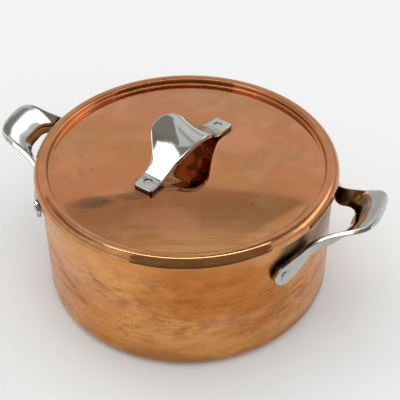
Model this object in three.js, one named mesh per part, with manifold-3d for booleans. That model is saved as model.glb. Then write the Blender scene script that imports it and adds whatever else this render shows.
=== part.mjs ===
// Copper stockpot with a steel lining, a domed lid and three twisted steel strap handles.
// Millimetres, +Z up. The origin is the middle of the pot's flat base, and the side handles lie along X.

import * as THREE from 'three';
import { mergeVertices } from 'three/addons/utils/BufferGeometryUtils.js';
import Module from 'manifold-3d';

// Pot
const POT_RADIUS = 122; // outside of the copper wall, a 24 cm pot inside
const POT_HEIGHT = 118.3; // cut rim above the base
const POT_COPPER = 1.2;
const POT_LINING = 0.6;
const BASE_BEND = 10; // outer radius between base and wall
const BOND_GAP = 0.3; // between the copper and the steel sheet

// Lid: a rounded rim that sits over the pot's rim, a narrow groove inside it and a low dome
const LID_COPPER = 1.1;
const LID_LINING = 0.5;
const SKIRT_RADIUS = 126.2;
const SKIRT_BOTTOM = 113.8;
const SHOULDER_RADIUS = 7.5; // round from the skirt up to the crest
const SHOULDER_HEIGHT = 114.3; // its centre
const SHOULDER_TURN = 108; // degrees of it, from the skirt to just past the crest
const BROW_RADIUS = 2.2; // tighter round from there down to the groove's wall
const GROOVE_FILLET = 1.8;
const DOME_RADIUS = 820;
const DOME_APEX = 124.3;

// Strap handles
const STRAP_THICKNESS = 4;
const STRAP_CHAMFER = 0.8;
const PAD_ANGLE = THREE.MathUtils.degToRad(30.6); // rivet from the handle's own axis, round the pot
const PAD_HEIGHT = 84.2;
const PAD_RADIUS = 125.8; // middle of the strap's thickness where it lies along the wall
const PAD_WIDTH = 19.6;
const PAD_TAPER = 9; // from the rivet to where the pad's upper edge narrows
const PAD_TAPER_HALF = 8.4; // half width of the upper edge there
const PAD_RISE = THREE.MathUtils.degToRad(22); // the strap climbs from the pad towards the grip

// Outer edge of a side handle, from the middle of the grip to the pad: out from the pot's axis, sideways
// and up
const GRIP_OUTER_EDGE = [
  [167.3, 0, 118.4],
  [167, 8.5, 118.2],
  [165.8, 16, 117.6],
  [162.8, 21.8, 116],
  [158, 25.2, 113.9],
  [150.5, 26.9, 111],
  [141.4, 28.6, 107.6],
  [129.8, 32.5, 102.6],
  [121, 39.2, 98.4],
  [115.2, 51, 96.2],
];

// Edge at the finger gap of the same handle
const GRIP_INNER_EDGE = [
  [144.2, 0, 97.8],
  [144.2, 7.5, 97.7],
  [142.7, 13.2, 96.7],
  [138.2, 19, 94.3],
  [133.2, 23.6, 91.2],
  [127, 27, 88.3],
  [121.8, 32.5, 86.6],
  [117.6, 44.5, 83.6],
];
const GRIP_BULGE = 3; // rise of the grip's upper face over its chord
const GRIP_BULGE_SHARE = [0.35, 0.8]; // of the way from pad to middle: where the bulge starts and is whole

// Lid handle: along the handle, towards the flange, up from the top of the pads
const LID_HANDLE_TURN = THREE.MathUtils.degToRad(75.8); // from the side handles' axis
const LID_HANDLE_SHIFT = [-1.9, 1.06]; // off the lid's middle, along the handle and towards the flange
const LID_RIVET_REACH = 47;
const LID_PAD_FLANGE_SIDE = 8; // from the rivet to the pad's edge on the flange's side
const LID_PAD_NEAR_SIDE = 9.5; // and to its other edge
const LID_PAD_END = 55.8;
const LID_PAD_CORNER = 2.2;
const FLANGE_SAG = 3.5; // depth of the flange's hollow under its chord
const FLANGE_SAG_SHARE = [0.25, 0.8];
const FLANGE_EDGE = [
  [-40.5, 8.6, -0.7],
  [-36, 7.8, 3.6],
  [-31.5, 8.4, 9.4],
  [-27, 11.6, 16],
  [-22.4, 15.8, 22.2],
  [-16.3, 19.6, 26.8],
  [-7.9, 20.4, 28.4],
  [0.9, 19.1, 28.2],
  [8.3, 15.7, 25.4],
  [14.7, 12.2, 19.2],
  [21, 10, 11.2],
  [30, 9.6, 3],
  [39, 9.4, -1.3],
];
const NEAR_EDGE = [
  [-43, -10, -1],
  [-38.5, -10.8, 1.8],
  [-33, -12, 5.6],
  [-27.5, -13.2, 9.8],
  [-23, -15.6, 13.6],
  [-18, -17.6, 17.3],
  [-13, -19.4, 20],
  [-7.5, -20.4, 22],
  [-2, -21, 22.6],
  [3.5, -21.3, 22],
  [8.5, -20.8, 20],
  [13, -18.8, 16.3],
  [18.5, -15.8, 11.2],
  [27, -12, 5.6],
  [36, -9.9, 0],
];

// Rivets
const RIVET_SHANK = 3;
const RIVET_CLEARANCE = 0.3;
const WALL_RIVET = {
  cone: 5, // radius of the countersunk part at the strap's face
  coneDepth: 1.8,
  coneSunk: 0.1,
  head: 4, // radius of the raised part
  proud: 1.4,
  collar: 6, // radius of the shoulder between wall and strap
  inner: 7, // radius of the domed head in the pot
  innerHeight: 2.5,
};
const LID_RIVET = { shank: 3.3, sunk: 0.7, inner: 6, innerHeight: 2.2 };
const RIVET_EDGE = 0.5; // chamfer round a rivet's visible end

const ROUND_SEGMENTS = 56;
const RIVET_SEGMENTS = 12;
const HEAD_STEPS = 3; // across a rivet's domed head
const BEND_STEPS = 4; // across the bend between base and wall
const SHOULDER_STEPS = 5;
const BROW_STEPS = 2;
const FILLET_STEPS = 2;
const DOME_STEPS = 3;
const STRAP_STATIONS = 28;
const FACE_POINTS = 5; // across each broad face of a strap
const LARGEST_MARGIN = 0.3; // chamfer as a share of the width where a pad's end narrows
const END_ANGLES = [20, 40, 58, 72, 82].map(THREE.MathUtils.degToRad); // stations round a pad's free end
const CORNER_ANGLES = [0, 30, 60, 85].map(THREE.MathUtils.degToRad); // and round a lid pad's corners

const wasm = await Module();
wasm.setup();

const metal = (color, roughness) => new THREE.MeshStandardMaterial({ color, metalness: 1, roughness });
const copper = () => metal(0xb87a50, 0.35);
const steel = () => metal(0xbfc0b8, 0.25);
const brushedSteel = () => metal(0xb4b5b0, 0.4);

// Merges shared vertices and leaves out triangles that have no area, such as a lathe's at the axis.
function weld(geometry) {
  const bare = geometry.clone();
  bare.deleteAttribute('normal');
  bare.deleteAttribute('uv');
  const merged = mergeVertices(bare, 1e-4);
  const old = merged.index.array;
  const kept = [];
  for (let i = 0; i < old.length; i += 3) {
    const [a, b, c] = [old[i], old[i + 1], old[i + 2]];
    if (a !== b && b !== c && c !== a) kept.push(a, b, c);
  }
  merged.setIndex(kept);
  return merged;
}

function asManifold(geometry) {
  const welded = weld(geometry);
  return new wasm.Manifold(new wasm.Mesh({
    numProp: 3,
    vertProperties: new Float32Array(welded.attributes.position.array),
    triVerts: new Uint32Array(welded.index.array),
  }));
}

// Cuts the tools out of a solid and gives the result back as a three.js geometry.
function cut(geometry, tools) {
  let solid = asManifold(geometry);
  for (const tool of tools) {
    solid = solid.subtract(asManifold(tool));
  }
  const mesh = solid.getMesh();
  const result = new THREE.BufferGeometry();
  result.setAttribute('position', new THREE.BufferAttribute(new Float32Array(mesh.vertProperties), 3));
  result.setIndex(new THREE.BufferAttribute(new Uint32Array(mesh.triVerts), 1));
  result.computeVertexNormals();
  return result;
}

// Revolves [radius, height] points about Z.
function revolve(points, segments) {
  const profile = points.map(([r, z]) => new THREE.Vector2(r, z));
  return new THREE.LatheGeometry(profile, segments).rotateX(Math.PI / 2);
}

// Points on an arc about [r, z], both ends included, angles in degrees from the +r direction.
function arc([r, z], radius, from, to, steps) {
  return Array.from({ length: steps + 1 }, (_, i) => {
    const angle = THREE.MathUtils.degToRad(from + ((to - from) * i) / steps);
    return [r + radius * Math.cos(angle), z + radius * Math.sin(angle)];
  });
}

// Domed head of a rivet, from its top on the axis to its rim at the given height, pointing down.
function domedHead(radius, rise, height) {
  const sphere = (radius ** 2 + rise ** 2) / (2 * rise);
  const rim = THREE.MathUtils.radToDeg(Math.asin(radius / sphere));
  return arc([0, height - rise + sphere], sphere, -90, rim - 90, HEAD_STEPS);
}

// Pot profile at a depth under the outer surface, from the middle of the base to the rim.
function potLine(depth) {
  const bend = arc([POT_RADIUS - BASE_BEND, BASE_BEND], BASE_BEND - depth, -90, 0, BEND_STEPS);
  return [[0, depth], ...bend, [POT_RADIUS - depth, POT_HEIGHT]];
}

function potSheet(outerDepth, innerDepth) {
  const profile = [...potLine(outerDepth), ...potLine(innerDepth).reverse()];
  return revolve(profile, ROUND_SEGMENTS);
}

// Lid profile at a depth under the upper surface, from the skirt's edge to the middle of the dome.
function lidLine(depth) {
  const shoulder = SKIRT_RADIUS - SHOULDER_RADIUS;
  const step = SHOULDER_RADIUS - BROW_RADIUS;
  const turn = THREE.MathUtils.degToRad(SHOULDER_TURN);
  const brow = [shoulder + step * Math.cos(turn), SHOULDER_HEIGHT + step * Math.sin(turn)];
  const filletCentre = brow[0] - BROW_RADIUS - GROOVE_FILLET;
  const domeHeight = DOME_APEX - DOME_RADIUS;
  // the fillet touches the dome from above and ends where its normal passes through the dome's centre
  const groove = domeHeight + Math.sqrt((DOME_RADIUS + GROOVE_FILLET) ** 2 - filletCentre ** 2);
  const leave = THREE.MathUtils.radToDeg(Math.atan2(groove - domeHeight, filletCentre)) - 180;
  const over = arc([shoulder, SHOULDER_HEIGHT], SHOULDER_RADIUS - depth, 0, SHOULDER_TURN, SHOULDER_STEPS);
  const drop = arc(brow, BROW_RADIUS - depth, SHOULDER_TURN, 180, BROW_STEPS);
  const under = arc([filletCentre, groove], GROOVE_FILLET + depth, 0, leave, FILLET_STEPS);
  const dome = arc([0, domeHeight], DOME_RADIUS - depth, 180 + leave, 90, DOME_STEPS);
  return [[SKIRT_RADIUS - depth, SKIRT_BOTTOM], ...over, ...drop.slice(1), ...under, ...dome.slice(1)];
}

function lidSheet(upperDepth, lowerDepth) {
  const profile = [...lidLine(lowerDepth).reverse(), ...lidLine(upperDepth)];
  return revolve(profile, ROUND_SEGMENTS);
}

// Point on the dome's upper surface at a distance from the axis.
function domeHeightAt(r) {
  return DOME_APEX - DOME_RADIUS + Math.sqrt(DOME_RADIUS ** 2 - r ** 2);
}

// One closed body through the stations of a bent strap. Each station has both edges of the strap at
// mid-thickness, left and right as seen along its upper face, the direction of that face and its bulge
// over the chord.
function strap(stations) {
  const positions = [];
  const ring = 2 * FACE_POINTS + 4;
  for (const { left, right, face, bulge } of stations) {
    const chord = right.clone().sub(left);
    const width = chord.length();
    const across = chord.clone().divideScalar(width);
    const normal = face.clone().addScaledVector(across, -face.dot(across)).normalize();
    const margin = Math.min(STRAP_CHAMFER / width, LARGEST_MARGIN);
    const at = (u, height) => {
      const slope = (4 * bulge * (1 - 2 * u)) / width;
      const lean = 1 / Math.hypot(1, slope);
      return left.clone()
        .addScaledVector(chord, u)
        .addScaledVector(normal, 4 * bulge * u * (1 - u) + height * lean)
        .addScaledVector(across, -height * slope * lean);
    };
    const half = STRAP_THICKNESS / 2;
    const shares = Array.from({ length: FACE_POINTS }, (_, i) => (
      margin + ((1 - 2 * margin) * i) / (FACE_POINTS - 1)
    ));
    const section = [
      ...shares.map((u) => at(u, half)),
      at(1, half - STRAP_CHAMFER),
      at(1, STRAP_CHAMFER - half),
      ...shares.toReversed().map((u) => at(u, -half)),
      at(0, STRAP_CHAMFER - half),
      at(0, half - STRAP_CHAMFER),
    ];
    for (const point of section) positions.push(point.x, point.y, point.z);
  }
  const index = [];
  for (let s = 0; s < stations.length - 1; s += 1) {
    for (let i = 0; i < ring; i += 1) {
      const a = s * ring + i;
      const b = s * ring + ((i + 1) % ring);
      index.push(a, b, a + ring, b, b + ring, a + ring);
    }
  }
  // each end is closed by a fan from a point beside the straight row, which leaves no flat triangle
  const last = (stations.length - 1) * ring;
  const side = FACE_POINTS;
  for (let i = 1; i < ring - 1; i += 1) {
    const a = (side + i) % ring;
    const b = (side + i + 1) % ring;
    index.push(side, b, a, last + side, last + a, last + b);
  }
  const geometry = new THREE.BufferGeometry();
  geometry.setAttribute('position', new THREE.BufferAttribute(new Float32Array(positions), 3));
  geometry.setIndex(index);
  geometry.computeVertexNormals();
  return geometry;
}

// Smooth curve through the points of a strap's edge.
function edgeThrough(points) {
  return new THREE.CatmullRomCurve3(points.map((p) => new THREE.Vector3(...p)), false, 'centripetal');
}

// The same through half an edge and its mirror image on the other side of y = 0.
function mirroredEdge(half) {
  const others = half.slice(1).reverse().map(([x, y, z]) => [x, -y, z]);
  return edgeThrough([...others, ...half]);
}

// Stations along the left and the right edge of a strap.
function stationsBetween(leftEdge, rightEdge, bulgeAt) {
  return Array.from({ length: STRAP_STATIONS + 1 }, (_, i) => {
    const t = i / STRAP_STATIONS;
    const left = leftEdge.getPoint(t);
    const right = rightEdge.getPoint(t);
    const along = leftEdge.getTangent(t).add(rightEdge.getTangent(t));
    const face = right.clone().sub(left).cross(along).normalize();
    return { left, right, face, bulge: bulgeAt(1 - Math.abs(2 * t - 1)) };
  });
}

// Bulge that is whole at the middle of a handle and gone in its legs.
const fade = (full, [from, to]) => (share) => full * THREE.MathUtils.smoothstep(share, from, to);

// Point on the cylinder that a side handle's pads lie in: along the strap from the rivet and across it.
function onPad(sign, along, across) {
  const around = along * Math.cos(PAD_RISE) - across * Math.sin(PAD_RISE);
  const up = along * Math.sin(PAD_RISE) + across * Math.cos(PAD_RISE);
  const angle = PAD_ANGLE - around / PAD_RADIUS;
  return new THREE.Vector3(
    PAD_RADIUS * Math.cos(angle),
    sign * PAD_RADIUS * Math.sin(angle),
    PAD_HEIGHT + up,
  );
}

// The round free end of a side handle's pad, from the rivet outwards.
function padEnd(sign) {
  const radius = PAD_WIDTH / 2;
  return [0, ...END_ANGLES].map((angle) => {
    const along = -radius * Math.sin(angle);
    const half = radius * Math.cos(angle);
    const left = onPad(sign, along, -half);
    const right = onPad(sign, along, half);
    const middle = onPad(sign, along, 0);
    return { left, right, face: new THREE.Vector3(-middle.x, -middle.y, 0), bulge: 0 };
  });
}

function sideHandle() {
  const tip = PAD_WIDTH / 2;
  const outerPad = [onPad(1, PAD_TAPER, PAD_TAPER_HALF), onPad(1, 0, tip)].map((p) => p.toArray());
  const innerPad = [onPad(1, PAD_TAPER, -tip), onPad(1, 0, -tip)].map((p) => p.toArray());
  const outer = mirroredEdge([...GRIP_OUTER_EDGE, ...outerPad]);
  const inner = mirroredEdge([...GRIP_INNER_EDGE, ...innerPad]);
  const middle = stationsBetween(inner, outer, fade(GRIP_BULGE, GRIP_BULGE_SHARE));
  const stations = [...padEnd(-1).reverse(), ...middle.slice(1, -1), ...padEnd(1)];
  return cut(strap(stations), [1, -1].map((sign) => wallRivetTool(sign)));
}

// Turns a shape revolved about Z so that it points out of the wall at a side handle's rivet.
function outOfWall(geometry, sign) {
  return geometry
    .rotateY(Math.PI / 2)
    .translate(PAD_RADIUS + STRAP_THICKNESS / 2, 0, PAD_HEIGHT)
    .rotateZ(sign * PAD_ANGLE);
}

// Hole and countersink through a side handle's pad, measured from the strap's outer face.
function wallRivetTool(sign) {
  const hole = RIVET_SHANK + RIVET_CLEARANCE;
  const rim = WALL_RIVET.cone + RIVET_CLEARANCE;
  return outOfWall(revolve([
    [0, -2 * STRAP_THICKNESS],
    [hole, -2 * STRAP_THICKNESS],
    [hole, -WALL_RIVET.coneDepth - RIVET_CLEARANCE],
    [rim, 0],
    [rim, STRAP_THICKNESS],
    [0, STRAP_THICKNESS],
  ], RIVET_SEGMENTS), sign);
}

// Straight hole through the pot's wall at a side handle's rivet.
function wallHoles() {
  return [0, Math.PI].flatMap((turn) => [1, -1].map((sign) => (
    new THREE.CylinderGeometry(
      RIVET_SHANK + RIVET_CLEARANCE,
      RIVET_SHANK + RIVET_CLEARANCE,
      4 * STRAP_THICKNESS,
      RIVET_SEGMENTS,
    )
      .rotateZ(Math.PI / 2)
      .translate(POT_RADIUS, 0, PAD_HEIGHT)
      .rotateZ(sign * PAD_ANGLE + turn)
  )));
}

// Shouldered rivet: domed head in the pot, collar between wall and strap, raised countersunk head outside.
function wallRivet(sign) {
  const { cone, coneDepth, coneSunk, head, proud, collar, inner, innerHeight } = WALL_RIVET;
  const face = PAD_RADIUS + STRAP_THICKNESS / 2;
  // the inner head is flat underneath and meets the curved wall with its rim
  const innerWall = (POT_RADIUS - POT_COPPER - BOND_GAP - POT_LINING) * Math.cos(Math.PI / ROUND_SEGMENTS);
  const lining = Math.sqrt(innerWall ** 2 - inner ** 2) - RIVET_CLEARANCE - face;
  const wall = POT_RADIUS + RIVET_CLEARANCE - face;
  const strapBack = -STRAP_THICKNESS - RIVET_CLEARANCE;
  return outOfWall(revolve([
    ...domedHead(inner, innerHeight, lining),
    [RIVET_SHANK, lining],
    [RIVET_SHANK, wall],
    [collar, wall],
    [collar, strapBack],
    [RIVET_SHANK, strapBack],
    [RIVET_SHANK, -coneDepth],
    [cone, -coneSunk],
    [head, 0],
    [head, proud - RIVET_EDGE],
    [head - RIVET_EDGE, proud],
    [0, proud],
  ], RIVET_SEGMENTS), sign);
}

// Slides a shape over the dome from the lid's middle to the handle's place, and turns it as the handle.
function slideOnDome(geometry) {
  const [along, across] = LID_HANDLE_SHIFT;
  const domeHeight = DOME_APEX - DOME_RADIUS;
  return geometry
    .translate(0, 0, -domeHeight)
    .rotateY(along / DOME_RADIUS)
    .rotateX(-across / DOME_RADIUS)
    .translate(0, 0, domeHeight)
    .rotateZ(LID_HANDLE_TURN);
}

// Stands a shape revolved about Z on the dome at one of the lid handle's rivets.
function onDome(geometry, sign) {
  const lean = Math.asin(LID_RIVET_REACH / DOME_RADIUS);
  // turned by half a facet first, so that no corner of a hole falls on the strap's cross-section there
  return slideOnDome(geometry
    .rotateZ(Math.PI / RIVET_SEGMENTS)
    .rotateY(sign * lean)
    .translate(sign * LID_RIVET_REACH, 0, domeHeightAt(LID_RIVET_REACH)));
}

function lidRivetTool(sign) {
  const radius = LID_RIVET.shank + RIVET_CLEARANCE;
  const cylinder = new THREE.CylinderGeometry(radius, radius, 6 * STRAP_THICKNESS, RIVET_SEGMENTS);
  return onDome(cylinder.rotateX(Math.PI / 2), sign);
}

function lidRivet(sign) {
  const { shank, sunk, inner, innerHeight } = LID_RIVET;
  const under = -LID_COPPER - BOND_GAP - LID_LINING - RIVET_CLEARANCE;
  const top = RIVET_CLEARANCE + STRAP_THICKNESS - sunk;
  return onDome(revolve([
    ...domedHead(inner, innerHeight, under),
    [shank, under],
    [shank, top - RIVET_EDGE],
    [shank - RIVET_EDGE, top],
    [0, top],
  ], RIVET_SEGMENTS), sign);
}

// Station across a lid pad, which leans with the dome from the rivet outwards; both sides may be narrowed.
function lidPadStation(sign, reach, narrowing) {
  const lean = LID_RIVET_REACH / DOME_RADIUS;
  const drop = (reach - LID_RIVET_REACH) * lean;
  const height = -STRAP_THICKNESS / 2 - drop;
  return {
    left: new THREE.Vector3(sign * reach, LID_PAD_FLANGE_SIDE - narrowing, height),
    right: new THREE.Vector3(sign * reach, narrowing - LID_PAD_NEAR_SIDE, height),
    face: new THREE.Vector3(sign * lean, 0, 1),
    bulge: 0,
  };
}

function lidPadEnd(sign) {
  const cornerStart = LID_PAD_END - LID_PAD_CORNER;
  const corner = CORNER_ANGLES.map((angle) => lidPadStation(
    sign,
    cornerStart + LID_PAD_CORNER * Math.sin(angle),
    LID_PAD_CORNER * (1 - Math.cos(angle)),
  ));
  return [lidPadStation(sign, LID_RIVET_REACH, 0), ...corner];
}

function lidHandle() {
  const [first, last] = [-1, 1].map((sign) => lidPadStation(sign, LID_RIVET_REACH, 0));
  const flange = edgeThrough([first.left.toArray(), ...FLANGE_EDGE, last.left.toArray()]);
  const near = edgeThrough([first.right.toArray(), ...NEAR_EDGE, last.right.toArray()]);
  const middle = stationsBetween(flange, near, fade(-FLANGE_SAG, FLANGE_SAG_SHARE));
  const stations = [...lidPadEnd(-1).reverse(), ...middle.slice(1, -1), ...lidPadEnd(1)];
  const padTop = domeHeightAt(LID_RIVET_REACH) + RIVET_CLEARANCE + STRAP_THICKNESS;
  const placed = slideOnDome(strap(stations).translate(0, 0, padTop));
  return cut(placed, [1, -1].map((sign) => lidRivetTool(sign)));
}

function add(parent, name, geometry, material) {
  const mesh = new THREE.Mesh(geometry, material);
  mesh.name = name;
  parent.add(mesh);
}

// Pot with its lining
const pot = new THREE.Group();
add(pot, 'pot_body', cut(potSheet(0, POT_COPPER), wallHoles()), copper());
const liningDepth = POT_COPPER + BOND_GAP;
add(pot, 'pot_lining', cut(potSheet(liningDepth, liningDepth + POT_LINING), wallHoles()), brushedSteel());

// The same handle on both sides of the pot
for (const [side, turn] of [['right', 0], ['left', Math.PI]]) {
  const group = new THREE.Group();
  group.rotation.z = turn;
  add(group, `side_handle_${side}`, sideHandle(), steel());
  add(group, `side_rivet_${side}_1`, wallRivet(1), steel());
  add(group, `side_rivet_${side}_2`, wallRivet(-1), steel());
  pot.add(group);
}

// Lid with its handle
const lid = new THREE.Group();
const lidHoles = [1, -1].map((sign) => lidRivetTool(sign));
const lidLiningDepth = LID_COPPER + BOND_GAP;
const lidLiningSheet = lidSheet(lidLiningDepth, lidLiningDepth + LID_LINING);
add(lid, 'lid_shell', cut(lidSheet(0, LID_COPPER), lidHoles), copper());
add(lid, 'lid_lining', cut(lidLiningSheet, lidHoles), brushedSteel());
add(lid, 'lid_handle', lidHandle(), steel());
add(lid, 'lid_rivet_1', lidRivet(1), steel());
add(lid, 'lid_rivet_2', lidRivet(-1), steel());

const stockpot = new THREE.Group();
stockpot.add(pot, lid);

export default stockpot;
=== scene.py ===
# %% [markdown]
# # A copper stockpot with steel strap handles
#
# A pot like this is two spun sheets of copper, each with a thin steel sheet bonded inside, and three bent
# strips of polished steel that are riveted on. Its look comes from two things: the true outlines of those
# few pieces, and metal that has been polished, heated, wiped and scratched for years. This lesson makes both.
# First it loads the construction model, whose sizes are never changed here.

import bmesh
import bpy
import numpy as np
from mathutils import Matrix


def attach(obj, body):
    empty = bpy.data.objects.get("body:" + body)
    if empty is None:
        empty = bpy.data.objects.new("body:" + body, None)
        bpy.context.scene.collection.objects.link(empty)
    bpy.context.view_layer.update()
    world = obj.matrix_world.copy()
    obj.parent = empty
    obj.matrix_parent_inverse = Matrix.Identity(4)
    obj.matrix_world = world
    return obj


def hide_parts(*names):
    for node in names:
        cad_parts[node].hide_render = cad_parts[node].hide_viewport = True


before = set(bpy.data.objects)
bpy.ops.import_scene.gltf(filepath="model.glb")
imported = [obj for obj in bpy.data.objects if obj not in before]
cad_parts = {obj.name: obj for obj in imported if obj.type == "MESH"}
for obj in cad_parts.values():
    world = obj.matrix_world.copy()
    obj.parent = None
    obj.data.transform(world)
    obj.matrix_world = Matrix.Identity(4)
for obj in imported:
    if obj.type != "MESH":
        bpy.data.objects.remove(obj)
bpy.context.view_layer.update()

# %% [markdown]
# ## Sizes
#
# Everything is in metres, with the origin in the middle of the pot's flat base, +Z up and the two side
# handles along X. The sizes repeat the construction model's, so that each fine surface lies where its
# plain solid does.

# %% Sizes of the pot and the lid
MM = 0.001
POT_RADIUS = 122 * MM
POT_HEIGHT = 118.3 * MM
POT_COPPER = 1.2 * MM
POT_LINING = 0.6 * MM
BASE_BEND = 10 * MM
BOND_GAP = 0.3 * MM

LID_COPPER = 1.1 * MM
LID_LINING = 0.5 * MM
SKIRT_RADIUS = 126.2 * MM
SKIRT_BOTTOM = 113.8 * MM
SHOULDER_RADIUS = 7.5 * MM
SHOULDER_HEIGHT = 114.3 * MM
SHOULDER_TURN = 108
BROW_RADIUS = 2.2 * MM
GROOVE_FILLET = 1.8 * MM
DOME_RADIUS = 820 * MM
DOME_APEX = 124.3 * MM
print("pot", round(2 * POT_RADIUS, 3), "m across,", POT_HEIGHT, "m high")

# %% Sizes of the straps and the rivets
STRAP_THICKNESS = 4 * MM
STRAP_EDGE = 0.9 * MM
PAD_ANGLE = np.radians(30.6)
PAD_HEIGHT = 84.2 * MM
PAD_RADIUS = 125.8 * MM
PAD_WIDTH = 19.6 * MM
PAD_TAPER = 9 * MM
PAD_TAPER_HALF = 8.4 * MM
PAD_RISE = np.radians(22)
GRIP_BULGE = 3 * MM
GRIP_BULGE_SHARE = (0.35, 0.8)

LID_HANDLE_TURN = np.radians(75.8)
LID_RIVET_REACH = 47 * MM
LID_HANDLE_SHIFT = MM * np.array([-1.9, 1.06])
LID_PAD_FLANGE_SIDE = 8 * MM
LID_PAD_NEAR_SIDE = 9.5 * MM
LID_PAD_END = 55.8 * MM
LID_PAD_CORNER = 2.2 * MM
FLANGE_SAG = 3.5 * MM
FLANGE_SAG_SHARE = (0.25, 0.8)

RIVET_SHANK = 3 * MM
LID_RIVET_SHANK = 3.3 * MM
RIVET_CLEARANCE = 0.3 * MM
print("straps", STRAP_THICKNESS, "m thick")

# %% [markdown]
# ## The camera
#
# The picture was taken from above, with the lens tipped down by about forty degrees and the pot turned so
# that its handles run from the upper left to the lower right. The camera's axes are worked out from those
# angles as three vectors, which are the columns of its rotation.

# %% Camera
VIEW_TURN = np.radians(22.65)
VIEW_DOWN = np.radians(40.35)
VIEW_ROLL = np.radians(0.44)
VIEW_DISTANCE = 903.75 * MM
VIEW_RIGHT_OF_ORIGIN = 10.8 * MM
VIEW_ABOVE_ORIGIN = 56.6 * MM
LENS = 90
SENSOR = 36

level_right = np.array([np.cos(VIEW_TURN), np.sin(VIEW_TURN), 0])
level_away = np.array([-np.sin(VIEW_TURN), np.cos(VIEW_TURN), 0])
upright = np.array([0, 0, 1])
view_away = level_away * np.cos(VIEW_DOWN) - upright * np.sin(VIEW_DOWN)
view_up = level_away * np.sin(VIEW_DOWN) + upright * np.cos(VIEW_DOWN)
picture_right = level_right * np.cos(VIEW_ROLL) - view_up * np.sin(VIEW_ROLL)
picture_up = level_right * np.sin(VIEW_ROLL) + view_up * np.cos(VIEW_ROLL)
eye = level_right * VIEW_RIGHT_OF_ORIGIN + view_up * VIEW_ABOVE_ORIGIN - view_away * VIEW_DISTANCE


def place_object(thing, x_axis, y_axis, z_axis, place=(0, 0, 0)):
    """Puts an object into the scene with the given axes and place, which are the columns of its matrix."""
    pose = np.eye(4)
    pose[:3] = np.stack([x_axis, y_axis, z_axis, place], axis=1)
    thing.matrix_world = pose.T.tolist()
    bpy.context.scene.collection.objects.link(thing)


camera = bpy.data.objects.new("camera", bpy.data.cameras.new("camera"))
camera.data.lens = LENS
camera.data.sensor_width = SENSOR
camera.rotation_mode = "QUATERNION"
place_object(camera, picture_right, picture_up, -view_away, eye)
bpy.context.scene.camera = camera
print("camera at", eye.round(3))

# %% [markdown]
# ## Surfaces from grids
#
# Every piece here is a grid of points that one formula fills, so a few array helpers make them all. A grid
# becomes four-sided faces between its rows and columns. Points that fall together, such as a whole row on
# the axis of a revolved sheet, are merged afterwards, and the faces are turned round if the solid's volume
# comes out negative, so they always point outwards.

# %% Faces of a grid


def grid_faces(rows, columns, round_rows=False):
    """Quads between neighbours in a grid of points numbered row by row, whose columns close on themselves."""
    row = np.arange(rows if round_rows else rows - 1)[:, None]
    column = np.arange(columns)
    after = (row + 1) % rows
    beside = (column + 1) % columns
    start, end = row * columns, after * columns
    corners = np.broadcast_arrays(start + column, start + beside, end + beside, end + column)
    return np.stack(corners, axis=-1).reshape(-1, 4)


def volume(points, faces):
    """Sum over the faces' triangles of a . (b x c) / 6, which is the volume inside a closed surface."""
    a, b, c, d = (points[faces[:, k]] for k in range(4))
    return (np.einsum("ij,ij->i", a, np.cross(b, c)) + np.einsum("ij,ij->i", a, np.cross(c, d))).sum() / 6


print("a tube with 3 rings of 4 points has", len(grid_faces(3, 4)), "faces")

# %% Pieces from points and faces
MERGE_DISTANCE = 1e-6
SHARP_ANGLE = np.radians(40)


def make_piece(name, points, faces, uv=None):
    """Mesh object from arrays of points and four-sided faces, merged where points meet, faces outwards."""
    if volume(points, faces) < 0:
        faces = faces[:, ::-1]
    mesh = bpy.data.meshes.new(name)
    mesh.vertices.add(len(points))
    mesh.vertices.foreach_set("co", points.astype(np.float32).ravel())
    mesh.loops.add(faces.size)
    mesh.loops.foreach_set("vertex_index", faces.ravel())
    mesh.polygons.add(len(faces))
    mesh.polygons.foreach_set("loop_start", np.arange(0, faces.size, 4))
    mesh.update(calc_edges=True)
    if uv is not None:
        layer = mesh.uv_layers.new(name="along_strap")
        layer.uv.foreach_set("vector", uv[faces.ravel()].astype(np.float32).ravel())
    work = bmesh.new()
    work.from_mesh(mesh)
    bmesh.ops.remove_doubles(work, verts=work.verts, dist=MERGE_DISTANCE)
    bmesh.ops.dissolve_degenerate(work, edges=work.edges, dist=MERGE_DISTANCE)
    work.to_mesh(mesh)
    work.free()
    piece = bpy.data.objects.new(name, mesh)
    bpy.context.scene.collection.objects.link(piece)
    return piece


def smooth(piece):
    """Smooth shading that keeps edges over the sharp angle crisp."""
    piece.data.shade_smooth()
    piece.data.set_sharp_from_angle(angle=SHARP_ANGLE)
    return piece


# %% Helpers for profiles and revolved sheets
ROUND_SEGMENTS = 288
CUT_EDGE = 0.3 * MM
CUT_STEPS = 4


def arc(centre, radius, start, stop, steps):
    """Points at the centre plus radius times (cosine, sine) of evenly spaced angles, in degrees."""
    angle = np.radians(np.linspace(start, stop, steps + 1))
    return np.stack([centre[0] + radius * np.cos(angle), centre[1] + radius * np.sin(angle)], axis=1)


def revolve(name, profile, segments=ROUND_SEGMENTS, origin=(0, 0, 0), axis=(0, 0, 1)):
    """(radius, height) points carried round an axis: origin + radius (u cos t + v sin t) + height axis."""
    axis = np.array(axis, float) / np.linalg.norm(axis)
    helper = np.array([0.0, 0, 1]) if abs(axis[2]) < 0.9 else np.array([1.0, 0, 0])
    u = np.cross(helper, axis)
    u /= np.linalg.norm(u)
    v = np.cross(axis, u)
    turn = np.linspace(0, 2 * np.pi, segments, endpoint=False)[None, :, None]
    radius = profile[:, 0, None, None]
    height = profile[:, 1, None, None]
    points = np.array(origin) + radius * (np.cos(turn) * u + np.sin(turn) * v) + height * axis
    closed = bool(profile[0, 0] > MERGE_DISTANCE)
    faces = grid_faces(len(profile), segments, round_rows=closed)
    return smooth(make_piece(name, points.reshape(-1, 3), faces))


print("a rounded cut edge has", len(arc((0, 0), CUT_EDGE, 0, 90, CUT_STEPS)), "points")

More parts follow.
